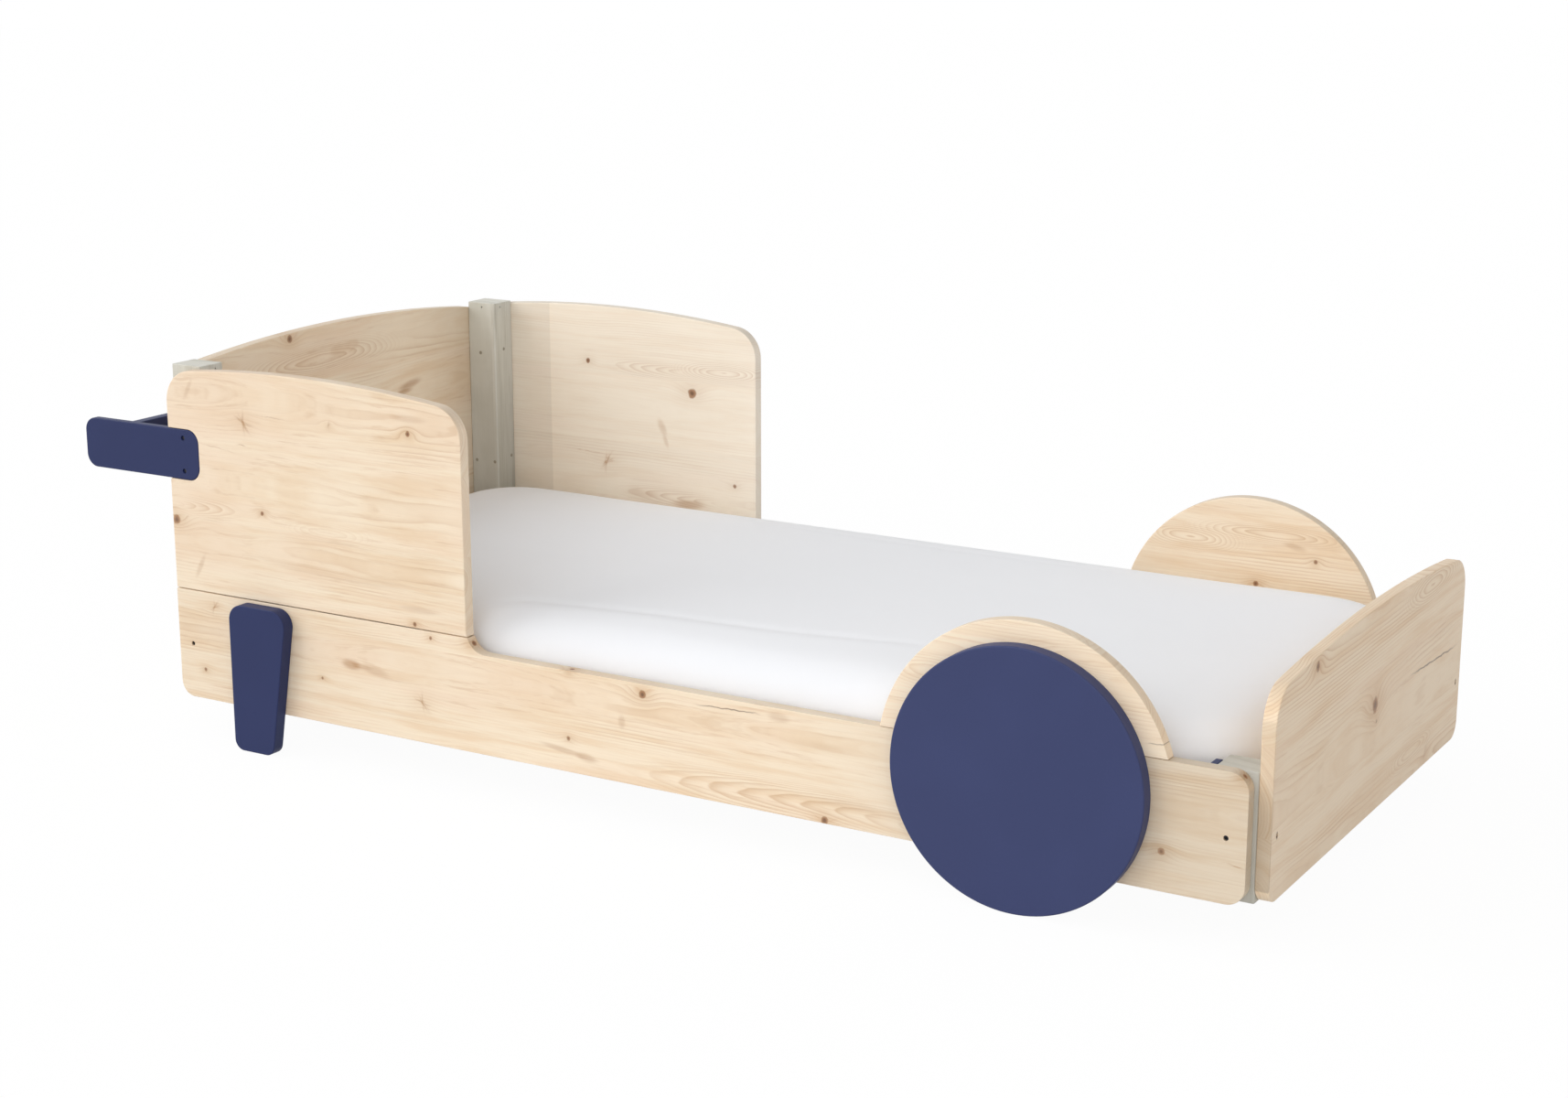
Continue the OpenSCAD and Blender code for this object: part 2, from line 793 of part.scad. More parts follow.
module mattress() {
    shoulder = mattress_h - mattress_crown;
    half = shoulder / 2;
    crown_step = (mattress_w / 2 - mattress_round - crown_flat) / crown_steps;
    edge = [for (a = [-90 : edge_step : 90])
        [mattress_round * (1 - cos(a)) * (a < 0 ? under_share : 1), half + half * sin(a),
         face_draw + (1 - face_draw) * cos(a)]];
    crown = [for (s = [1 : crown_steps])
        let (a = 90 * s / crown_steps)
        [mattress_round + s * crown_step, shoulder + mattress_crown * sin(a), face_draw]];
    rings = [for (q = concat(edge, crown)) mattress_ring(q[0], q[1], mattress_draw * q[2])];
    n = len(rings[0]);
    m = len(rings);
    walls = [for (j = [0 : m - 2], i = [0 : n - 1])
        let (a = j * n + i, b = j * n + (i + 1) % n) each [[a, a + n, b + n], [a, b + n, b]]];
    base = [for (i = [0 : n - 1]) i];
    top = [for (i = [n - 1 : -1 : 0]) (m - 1) * n + i];
    color("white") translate([(xi_head + xi_foot) / 2, 0, mattress_z])
        polyhedron(points = [for (r = rings) each r], faces = concat([base], walls, [top]));
}

// Fastener nodes

module rail_bolts() {
    color(steel) both_sides() difference() {
        near_rail_bolts();
        near_rail_sockets();
    }
}

module panel_bolts() {
    color(steel) both_sides() difference() {
        near_panel_bolts();
        near_panel_sockets();
    }
}

module near_rail_sockets() {
    for (x = [x_head + bolt_x, x_foot - bolt_x]) to_far([x, -yo, rail_bolt_z]) bolt_socket();
}

module near_panel_sockets() {
    y = panel_bolt_y - yi;
    to_foot([xi_head - board_t, y, panel_bolt_z]) bolt_socket();
    to_head([xi_foot + board_t, y, panel_bolt_z]) bolt_socket();
}

module barrel_nuts() {
    color(steel) both_sides() difference() {
        near_barrels();
        near_rail_bolts(hole_clear);
        near_panel_bolts(hole_clear);
    }
}

// One node's fasteners of one kind, on both sides
module fasteners(c) {
    color(c) both_sides() children();
}

side_rail(false);  // near_side_rail
side_rail(true);  // far_side_rail
head_side_board(false);  // near_head_side_board
head_side_board(true);  // far_head_side_board
wheel_arch(false);  // near_wheel_arch
wheel_arch(true);  // far_wheel_arch
head_panel();
foot_panel();
head_post(false);  // near_head_post
head_post(true);  // far_head_post
foot_post(false);  // near_foot_post
foot_post(true);  // far_foot_post
wheel_disc(false);  // near_wheel_disc
wheel_disc(true);  // far_wheel_disc
leg(false);  // near_leg
leg(true);  // far_leg
handle_arm(false);  // near_handle_arm
handle_arm(true);  // far_handle_arm
handle_bar();
slat_ledger(false);  // near_slat_ledger
slat_ledger(true);  // far_slat_ledger
corner_packer(false);  // near_corner_packer
corner_packer(true);  // far_corner_packer
for (i = [1 : slat_count]) slat(i);
slat_tapes();
mattress();
rail_bolts();
panel_bolts();
barrel_nuts();
fasteners(steel) near_wheel_screws();  // wheel_disc_screws
fasteners(steel) near_leg_screws();  // leg_screws
fasteners(steel) near_arm_screws();  // handle_arm_screws
fasteners(steel) near_post_screws();  // head_post_screws
fasteners(steel) near_ledger_screws();  // ledger_screws
fasteners(steel) near_slat_screws();  // slat_screws
fasteners(steel) near_packer_screws();  // packer_screws
fasteners(birch) near_side_dowels();  // side_board_dowels
fasteners(birch) near_arch_dowels();  // arch_dowels
fasteners(birch) near_bar_dowels();  // handle_bar_dowels
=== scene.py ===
"""Kids bed: wood, paint, webbing and a padded mattress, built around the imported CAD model.

Places and sizes are in metres, in the row's own frame: +X runs to the foot end, -Y is the near
side and the floor is at height 0. Each operator finishes one piece or one group of like pieces.
"""

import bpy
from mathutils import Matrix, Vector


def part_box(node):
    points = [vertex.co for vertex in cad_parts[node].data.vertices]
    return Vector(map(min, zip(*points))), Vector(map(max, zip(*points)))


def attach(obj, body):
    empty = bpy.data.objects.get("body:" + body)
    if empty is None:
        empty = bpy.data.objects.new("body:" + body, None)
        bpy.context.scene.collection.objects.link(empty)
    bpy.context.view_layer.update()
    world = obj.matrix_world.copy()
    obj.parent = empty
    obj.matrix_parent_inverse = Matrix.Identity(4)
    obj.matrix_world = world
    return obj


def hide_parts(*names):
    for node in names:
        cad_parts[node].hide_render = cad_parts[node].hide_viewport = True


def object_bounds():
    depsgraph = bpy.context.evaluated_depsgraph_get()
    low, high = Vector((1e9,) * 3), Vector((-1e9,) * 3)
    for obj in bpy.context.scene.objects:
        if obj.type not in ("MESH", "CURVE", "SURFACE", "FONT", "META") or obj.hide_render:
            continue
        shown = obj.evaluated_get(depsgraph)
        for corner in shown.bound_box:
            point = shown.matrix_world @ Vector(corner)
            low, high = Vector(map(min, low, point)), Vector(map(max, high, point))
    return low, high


bl_info = {
    "name": "Kids Bed",
    "version": (1, 0, 0),
    "blender": (4, 5, 0),
    "location": "View3D > Sidebar > Kids Bed",
    "description": "Finishes a slatted pine kids bed with painted wheels, legs and grab handle",
    "category": "Object",
}

import math

import bmesh
import bpy
import numpy as np
from bpy.props import FloatProperty, FloatVectorProperty, IntProperty, PointerProperty
from mathutils import Vector

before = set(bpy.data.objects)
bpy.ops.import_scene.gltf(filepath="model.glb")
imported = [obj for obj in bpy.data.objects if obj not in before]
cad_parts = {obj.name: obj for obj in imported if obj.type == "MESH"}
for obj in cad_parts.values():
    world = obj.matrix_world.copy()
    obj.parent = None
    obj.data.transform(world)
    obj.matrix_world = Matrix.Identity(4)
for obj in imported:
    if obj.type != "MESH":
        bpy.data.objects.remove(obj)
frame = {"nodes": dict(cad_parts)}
CAD_LOW, CAD_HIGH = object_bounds()
NODES = frame["nodes"]
BODY = "root"

# Where two boards meet: the height of the joint, and where it starts and ends along the bed
JOINT_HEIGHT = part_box("near_head_side_board")[0].z
HEAD_JOINT = (JOINT_HEIGHT, CAD_LOW.x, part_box("near_head_side_board")[1].x + 0.01)
JOINT_REACH = 0.0008
SHARP_EDGE = math.radians(40.0)
SMOOTH_EDGE = math.radians(38.0)
SMALLEST_RIM = 0.03
BOARD_WIDTH = 0.137
# Face attribute that the boards' materials use to paint shade on faces that look up
LOOKS_UP = "looks_up"
# Marks in the wood are placed as if the rails' foot ends were at 1.098 m along the bed
MARKS_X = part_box("near_side_rail")[1].x - 1.098


def linear(red, green, blue):
    """A screen colour from 0 to 255, as the linear colour that shaders use."""
    shares = (red / 255, green / 255, blue / 255)
    return tuple(s / 12.92 if s <= 0.04045 else ((s + 0.055) / 1.055) ** 2.4 for s in shares)


def swatch(name, description, *screen_colour):
    """A colour that a user can change, given as a screen colour."""
    return FloatVectorProperty(
        name=name,
        description=description,
        subtype="COLOR",
        size=3,
        min=0.0,
        max=1.0,
        default=linear(*screen_colour),
    )


def number(name, description, default, low=0.0, **kind):
    """A number that a user can change."""
    return FloatProperty(name=name, description=description, default=default, min=low, **kind)


def length(name, description, default):
    """A length in metres that a user can change."""
    return number(name, description, default, precision=4, unit="LENGTH", subtype="DISTANCE")


class KidsBedWood(bpy.types.PropertyGroup):
    """Tones and edges of the pine boards, posts and slats."""

    pale: swatch("Pale", "Palest tone between the growth rings", 250, 232, 206)
    warm: swatch("Warm", "Warm tone of the darker streaks", 238, 210, 175)
    rosy: swatch("Rosy", "Pinkish tone of the heartwood streaks", 244, 218, 191)
    ring: swatch("Ring", "Tone of the dark side of a growth ring", 202, 158, 110)
    mark: swatch("Mark", "Tone of feathered marks round small buds", 190, 148, 108)
    knot: swatch("Knot", "Tone of a knot", 158, 108, 66)
    knot_core: swatch("Knot core", "Darkest tone in a knot", 102, 70, 50)
    post_pale: swatch("Post pale", "Pale tone of the grey posts", 206, 204, 194)
    post_warm: swatch("Post warm", "Darker tone of the grey posts", 184, 181, 168)
    post_ring: swatch("Post ring", "Growth rings in the grey posts", 150, 142, 124)
    birch: swatch("Birch", "Tone of the slats", 236, 214, 180)
    birch_streak: swatch("Birch streak", "Streaks in the slats", 214, 184, 142)
    beech: swatch("Beech", "Tone of the dowels", 214, 176, 136)
    edge_round: length("Edge radius", "Radius of the boards' outer edges", 0.002)
    joint_round: length("Joint radius", "Radius where two boards meet", 0.0005)
    slat_round: length("Slat radius", "Radius of the slats' long edges", 0.0025)
    ring_gap: length("Ring gap", "Distance between growth rings", 0.0052)


class KidsBedPaint(bpy.types.PropertyGroup):
    """Paint of the wheel discs, legs, grab handle and corner packers."""

    blue: swatch("Blue", "Colour of the wheel discs' paint", 61, 69, 109)
    deep_blue: swatch("Deep blue", "Colour of the legs', handle's and packers' paint", 44, 53, 94)
    edge_round: length("Edge radius", "Radius of the painted edges", 0.002)


class KidsBedBedding(bpy.types.PropertyGroup):
    """The mattress, the webbing and the steel below it."""

    cover: swatch("Cover", "Colour of the mattress cover", 246, 247, 250)
    webbing: swatch("Webbing", "Colour of the slat webbing", 226, 222, 212)
    steel: swatch("Steel", "Colour of the screws and bolts", 72, 72, 76)
    dull_steel: swatch("Dull steel", "Colour of the staples and the head posts' screws", 166, 162, 150)
    voxel: length("Voxel", "Size of the mattress mesh before subdivision", 0.014)
    slack: length("Slack", "How far the cover starts inside its full shape", 0.003)
    swell: length("Swell", "Furthest that the cover settles from its full shape", 0.0035)
    pressure: number("Pressure", "Push of the filling on the cover", 6.0)
    frames: IntProperty(
        name="Frames",
        description="Steps that the cover is given to settle",
        default=20,
        min=2,
    )


class KidsBedStage(bpy.types.PropertyGroup):
    """Floor, light and camera."""

    floor: swatch("Floor", "Colour of the floor", 214, 214, 214)
    fill_strength: number("Fill", "Strength of the light from all round", 0.52)
    key_strength: number("Key", "Strength of the large soft lamp at the head end", 1.50)
    front_strength: number("Front", "Strength of the very soft lamp in front", 1.10)
    camera_azimuth: number(
        "Azimuth", "Turn of the camera round the bed", math.radians(30.605), -math.pi, subtype="ANGLE"
    )
    camera_elevation: number(
        "Elevation", "Camera's angle above the horizon", math.radians(13.993), -math.pi, subtype="ANGLE"
    )
    camera_place: FloatVectorProperty(
        name="Place",
        description="Place of the camera",
        default=(2.3069, -3.8054, 1.4712),
        size=3,
        subtype="TRANSLATION",
        unit="LENGTH",
    )
    camera_lens: number("Lens", "Focal length in millimetres on a 36 mm wide sensor", 59.20, 1.0)


GROUPS = {
    "kids_bed_wood": KidsBedWood,
    "kids_bed_paint": KidsBedPaint,
    "kids_bed_bedding": KidsBedBedding,
    "kids_bed_stage": KidsBedStage,
}


def math_node(operation):
    """A method of Field that adds one Math node."""
    def method(field, *others):
        return field.math(operation, field, *others)
    return method


class Field:
    """A number that varies over a surface. Arithmetic on it adds Math nodes."""

    def __init__(self, graph, socket):
        self.graph = graph
        self.socket = socket

    def math(self, operation, *values, clamp=False):
        node = self.graph.add("Math", *values, operation=operation, use_clamp=clamp)
        return Field(self.graph, node.outputs[0])

    __add__ = __radd__ = math_node("ADD")
    __mul__ = __rmul__ = math_node("MULTIPLY")
    __sub__ = math_node("SUBTRACT")
    __truediv__ = math_node("DIVIDE")
    floor = math_node("FLOOR")
    part = math_node("FRACT")
    power = math_node("POWER")
    root = math_node("SQRT")
    size = math_node("ABSOLUTE")
    wave = math_node("SINE")

    def __rsub__(self, other):
        return self.math("SUBTRACT", other, self)

    def squared(self):
        return self * self

    def limited(self):
        """Kept from 0 to 1."""
        return self.math("ADD", self, 0.0, clamp=True)

    def hill(self):
        """1 where this is 0, falling smoothly to 0 as it grows: e to the power of minus it."""
        return self.math("EXPONENT", self * -1.0)

    def ramp(self, low, high, start=0.0, end=1.0):
        """A smooth step from start to end as this goes from low to high."""
        node = self.graph.add("MapRange", self, low, high, start, end, interpolation_type="SMOOTHSTEP")
        return Field(self.graph, node.outputs[0])


class Graph:
    """The nodes of a material or a world, with short ways to add the ones that this bed uses."""

    def __init__(self, owner):
        owner.use_nodes = True
        self.owner = owner
        self.nodes = owner.node_tree.nodes
        self.links = owner.node_tree.links
        self.nodes.clear()

    def add(self, kind, *values, **settings):
        """Adds a node with values for its first inputs. A setting with a capital is an input too."""
        node = self.nodes.new("ShaderNode" + kind)
        for name, value in settings.items():
            if name[0].islower():
                setattr(node, name, value)
        for socket, value in zip(node.inputs, values):
            self.feed(socket, value)
        for name, value in settings.items():
            if name[0].isupper():
                self.feed(node.inputs[name.replace("_", " ")], value)
        return node

    def feed(self, socket, value):
        """Links a field or a socket to an input, or sets the input to a constant."""
        if isinstance(value, Field):
            value = value.socket
        if isinstance(value, bpy.types.NodeSocket):
            self.links.new(value, socket)
        else:
            socket.default_value = value

    def place(self, order="xyz"):
        """The place on the object as three fields, in the order asked for."""
        node = self.add("SeparateXYZ", self.add("TexCoord").outputs["Object"])
        return [Field(self, node.outputs["xyz".index(axis)]) for axis in order]

    def vector(self, *values):
        return self.add("CombineXYZ", *values).outputs[0]

    def attribute(self, name):
        """A number that the mesh carries on its faces, or 0 where it has none."""
        node = self.add("Attribute", attribute_type="GEOMETRY", attribute_name=name)
        return Field(self, node.outputs["Fac"])

    def noise(self, vector, scale, seed, detail=2.0, roughness=0.5):
        """Soft noise from 0 to 1. Its scale is in steps per metre: one number, or one per axis."""
        scale = scale if isinstance(scale, tuple) else (scale, scale, scale)
        shift = (seed * 7.31, seed * 3.17, seed * 5.73)
        mapping = self.add("Mapping", vector, Location=shift, Scale=scale)
        node = self.add("TexNoise", mapping.outputs[0], Scale=1.0, Detail=detail, Roughness=roughness)
        return Field(self, node.outputs["Fac"])

    def chance(self, value):
        """Three random numbers from 0 to 1 that change with each whole number."""
        node = self.add("TexWhiteNoise", noise_dimensions="1D", W=value)
        split = self.add("SeparateColor", node.outputs["Color"])
        return [Field(self, output) for output in split.outputs]

    def blend(self, share, first, second):
        """The first colour where the share is 0 and the second where it is 1."""
        node = self.add("Mix", data_type="RGBA", Factor=share)
        for socket, colour in zip((node.inputs[6], node.inputs[7]), (first, second)):
            self.feed(socket, (*colour, 1.0) if isinstance(colour, tuple) else colour)
        return node.outputs[2]

    def tint(self, colour, strength):
        """The colour made darker or lighter by a field round 1."""
        return self.add("VectorMath", colour, operation="SCALE", Scale=strength).outputs[0]

    def finish(self, colour, roughness, height, depth, **sockets):
        """Joins colour, roughness and relief to the surface. Sockets hold constants by name."""
        bump = self.add("Bump", Height=height, Strength=1.0, Distance=depth).outputs[0]
        shader = self.add("BsdfPrincipled", Base_Color=colour, Roughness=roughness, Normal=bump, **sockets)
        self.add("OutputMaterial", shader.outputs[0])
        return self.owner


def material_graph(name):
    """The nodes of a new material."""
    return Graph(bpy.data.materials.new(name))


class Grain:
    """Growth rings, streaks, knots and marks of one board, in its own grain directions.

    Along runs with the grain, across runs over the board's width, and through is its thickness.
    Order says which axis each of the three follows, and middle is where the board is on them.
    """

    def __init__(self, name, order, seed, middle=(0.0, 0.0, 0.0)):
        self.graph = material_graph(name)
        self.seed = seed
        self.middle = middle
        self.kept = {}
        starts = [m + (MARKS_X if axis == "x" else 0.0) for axis, m in zip(order, middle)]
        places = [place - start for place, start in zip(self.graph.place(order), starts)]
        self.along, self.across, self.through = places
        self.vector = self.graph.vector(*places)

    def marks(self, kind, *rows):
        """Adds marks of one kind. Each row has the place in the bed, then the mark's own values."""
        for along, across, *values in rows:
            getattr(self, kind)(along - self.middle[0], across - self.middle[1], *values)

    def noise(self, scale, turn, detail=2.0, roughness=0.5):
        return self.graph.noise(self.vector, scale, self.seed + turn, detail, roughness)

    def flowing(self, scale, turn, detail=2.0, roughness=0.5):
        """Noise that follows the growth rings."""
        return self.graph.noise(self.flow, scale, self.seed + turn, detail, roughness)

    def local(self, along, across, slope=0.0):
        """How far a point lies along and across from a place, turned by a slope."""
        du = self.along - along
        dv = self.across - across
        if not slope:
            return du, dv
        cosine = math.cos(slope)
        sine = math.sin(slope)
        return du * cosine + dv * sine, dv * cosine - du * sine

    def oval(self, along, across, length, width, slope=0.0):
        """How far out a point lies from a place, squared: 1 on an oval's rim."""
        du, dv = self.local(along, across, slope)
        return (du / length).squared() + (dv / width).squared()

    def spot(self, *oval):
        """A soft oval: 1 at its middle, fading out over its length and width."""
        return self.oval(*oval).hill()

    def keep(self, kind, field):
        """Adds a field to the ones of its kind."""
        self.kept[kind] = self.kept[kind] + field if kind in self.kept else field

    def knot(self, along, across, radius, dark=1.0, through=None):
        """A knot: dark core, brown body, warm surround, and rings that part round it.

        It goes right through the board, or it is a small round one at a depth.
        """
        du, dv = self.local(along, across)
        wobble = self.noise((90.0, 90.0, 60.0), 31 + along) - 0.5
        square = du.squared() + dv.squared() * 0.85
        if through is not None:
            square = square + (self.through - through).squared()
        reach = square.root() / radius + wobble * 0.7
        self.keep("knots", reach.ramp(1.15, 0.75) * dark)
        self.keep("cores", reach.ramp(0.75, 0.25) * dark)
        for kind, long, wide, strength in (
            ("stain", 3.4, 2.2, dark),
            ("bulge", 4.0, 2.4, radius * 1.6),
            ("lines", 6.0, 3.0, 0.5),
        ):
            self.keep(kind, self.spot(along, across, radius * long, radius * wide) * strength)

    def bolt(self, along, across):
        """A dark upright oval at a bolt's hole: the hole's painted shade."""
        self.keep("cores", self.spot(along, across, 0.0042, 0.0068).ramp(0.35, 0.55) * 0.8)

    def stroke(self, along, across, length, width, slope, dark=1.0):
        """One thin brushed stroke with ragged edges."""
        du, dv = self.local(along, across, slope)
        bend = self.noise((60.0, 60.0, 20.0), 36 + along) - 0.5
        hair = self.graph.vector(du * 60.0, (dv + bend * 0.006) * 520.0, self.through * 40.0)
        brush = self.graph.noise(hair, 1.0, self.seed + across, 2.0, 0.7)
        body = (du / (length * 0.5)).squared() + ((dv + bend * 0.005) / width).squared()
        self.keep("feathers", body.hill() * brush.ramp(0.34, 0.56) * dark)

    def bud(self, along, across, length, slope=-0.95, dark=1.0):
        """A small bud: a brushed blot with strokes that fly out from it."""
        for turn, far, long, wide, tone in (
            (slope, 0.08, 0.48, 0.050, 1.0),
            (slope + 0.50, -0.14, 0.32, 0.036, 0.7),
            (slope - 0.50, 0.15, 0.34, 0.034, 0.6),
            (slope * 0.25, 0.17, 0.38, 0.032, 0.6),
            (1.50, 0.13, 0.32, 0.030, 0.55),
        ):
            at_along = along + math.cos(turn) * far * length
            at_across = across + math.sin(turn) * far * length
            self.stroke(at_along, at_across, long * length, wide * length, turn, dark * tone)
        for kind, long, wide, strength in (
            ("stain", 0.5, 0.35, 0.45 * dark),
            ("bulge", 0.6, 0.4, 0.004),
            ("lines", 0.9, 0.5, 0.3),
        ):
            self.keep(kind, self.spot(along, across, length * long, length * wide) * strength)

    def smudge(self, along, across, length, width, slope=0.0, dark=0.45):
        """A soft brown smudge with fibres in it."""
        fibre = self.noise((20.0, 260.0, 60.0), 37)
        reach = self.oval(along, across, length, width, slope)
        self.keep("feathers", reach.squared().hill() * (fibre * 0.9 + 0.45) * dark)

    def group(self, along, across, length, width, strength=0.9):
        """A place where the growth rings stand out as a group of fine lines."""
        self.keep("lines", self.spot(along, across, length, width) * strength)

    def swirl(self, along, across, length, width, rings, strength=1.0, lean=0.0):
        """Nested rings where the saw has grazed the heart: closed ovals, or arches with a lean."""
        gap = 0.65 * width / rings
        start = 0.444 * width
        du, dv = self.local(along, across)
        wander = self.noise((3.2, 14.0, 8.0), 11 + along) - 0.5
        ripple = self.noise((16.0, 70.0, 30.0), 12 + across) - 0.5
        dv = dv + wander * (width * 0.7)
        if lean:
            rise = (du * lean + length) * (0.325 * width / length)
        else:
            rise = du.squared() * (0.65 * width / length**2)
        distance = (dv.squared() + (rise + start).squared()).root() + ripple * (gap * 0.7)
        turn = ((distance - start) / gap).part()
        body = ((du / length).squared() + (dv / width).squared()).squared().hill()
        self.keep("swirls", turn.power(2.0) * turn.ramp(1.0, 0.86) * body * strength)
        self.keep("calm", body)

    def patch(self, along, across, length, width):
        """A warmer patch in the wood."""
        self.keep("stain", self.spot(along, across, length, width) * 0.6)

    def crack(self, along, across, run, climb, width, dark):
        """A fine dark split that starts at a place and ends a run and a climb away."""
        long = math.hypot(run, climb)
        du, dv = self.local(along + run / 2, across + climb / 2, math.atan2(climb, run))
        shake = self.noise((45.0, 45.0, 10.0), 41) - 0.5
        away = (dv + shake * 0.007).size()
        ends = du.size().ramp(long * 0.52, long * 0.22)
        self.keep("cracks", away.ramp(width * 1.8, width * 0.4) * ends * dark)

    def rings(self, gap, width, lean):
        """The growth rings, from 0 between them to 1 on their dark side, and a chance per strip."""
        strip = (self.across / width + 0.5).floor()
        first, second, third = self.graph.chance(strip + self.seed * 13.7)
        wander = self.noise((1.5, 7.0, 7.0), 1) - 0.5
        ripple = self.noise((9.0, 46.0, 30.0), 2) - 0.5
        aside = self.across - strip * width - (first - 0.5) * (width * 0.7) + wander * 0.030
        depth = self.through + (second * 0.075 + 0.012)
        depth = depth + (third - 0.5) * lean * self.along + wander * 0.035
        distance = (aside.squared() + depth.squared()).root() + ripple * 0.0035
        if "bulge" in self.kept:
            distance = distance + self.kept["bulge"]
        turn = (distance / gap).part()
        self.flow = self.graph.vector(self.along, distance, self.through * 0.4 + third * 3.0)
        return turn.power(3.4) * turn.ramp(1.0, 0.88), third


def pine(grain, settings, tones, ring_strength=0.68, lean=0.05, roughness=0.5, shade=1.0, top=0.80):
    """Finishes a grain as satin pine in the given tones: pale, warm, rosy and ring.

    Shade is a field round 1 that tints the tone and carries the boards' painted light and shade, and top
    is the painted shade on faces that look up: they are darkened towards it.
    """
    graph = grain.graph
    kept = grain.kept
    pale, warm, rosy, ring = tones
    rings, chance = grain.rings(settings.ring_gap, BOARD_WIDTH, lean)
    streaks = grain.flowing((3.6, 60.0, 3.0), 3, 4.0, 0.64)
    blotches = grain.flowing((1.3, 13.0, 2.0), 4, 3.0, 0.55)
    dashes = grain.flowing((10.0, 230.0, 6.0), 8, 3.0, 0.65)
    fibres = grain.noise((9.0, 420.0, 160.0), 5, 3.0, 0.6)
    flecks = grain.noise((55.0, 900.0, 420.0), 6, 1.0)
    shown = grain.flowing((1.6, 17.0, 2.0), 7, 2.0)

    colour = graph.blend(streaks.ramp(0.40, 0.70) * 0.82, pale, warm)
    colour = graph.blend(blotches.ramp(0.48, 0.68) * 0.6, colour, rosy)
    stain = flecks.ramp(0.66, 0.82) * 0.3 + dashes.ramp(0.54, 0.70) * blotches.ramp(0.35, 0.6) * 0.5
    if "stain" in kept:
        stain = stain + kept["stain"] * (fibres * 0.9 + 0.35)
    colour = graph.blend((stain * 0.55).limited(), colour, ring)
    strength = shown.ramp(0.50, 0.66) * 0.65 + 0.12
    if "lines" in kept:
        strength = strength + kept["lines"]
    line = rings * strength.limited()
    if "swirls" in kept:
        line = line * (1.0 - kept["calm"].limited()) + kept["swirls"]
    line = line.limited()
    colour = graph.blend(line * ring_strength, colour, ring)
    colour = graph.tint(colour, (fibres * 0.08 + 0.955 + (chance - 0.5) * 0.03) * shade)
    # Painted shade: faces that look up are painted darker, as they catch less light
    colour = graph.tint(colour, 1.0 - graph.attribute(LOOKS_UP) * (1.0 - top))
    for kind, share, tone in (
        ("feathers", 0.8, settings.mark),
        ("knots", 0.85, settings.knot),
        ("cores", 0.75, settings.knot_core),
        ("cracks", 0.85, settings.knot_core),
    ):
        if kind in kept:
            colour = graph.blend((kept[kind] * share).limited(), colour, tuple(tone))
    height = fibres * 0.6 - line * 0.35
    if "cracks" in kept:
        height = height - kept["cracks"]
    shine = fibres * 0.12 + line * 0.08 + (roughness - 0.06)
    return graph.finish(colour, shine, height, 0.00012, Coat_Weight=0.12, Coat_Roughness=0.3)


def towards(tone, other, share):
    """A tone that has gone part of the way to another."""
    return tuple(t + (o - t) * share for t, o in zip(tone, other))


def board_tones(settings):
    return [tuple(c) for c in (settings.pale, settings.warm, settings.rosy, settings.ring)]


def painted_light_tones(settings):
    """The board tones a little paler and cooler, as painted light for boards that face inwards."""
    return [towards(tone, linear(252, 247, 236), 0.5) for tone in board_tones(settings)]


def calm_tones(settings):
    """The board tones with less between the pale and the darker streaks."""
    pale, warm, rosy, ring = board_tones(settings)
    return [pale, towards(warm, pale, 0.5), towards(rosy, pale, 0.5), ring]


def tan_tones(settings):
    """The board tones a little browner."""
    return [tuple(t * k for t, k in zip(tone, (0.985, 0.945, 0.90))) for tone in board_tones(settings)]


def post_tones(settings):
    pale = tuple(settings.post_pale)
    return [pale, tuple(settings.post_warm), pale, tuple(settings.post_ring)]


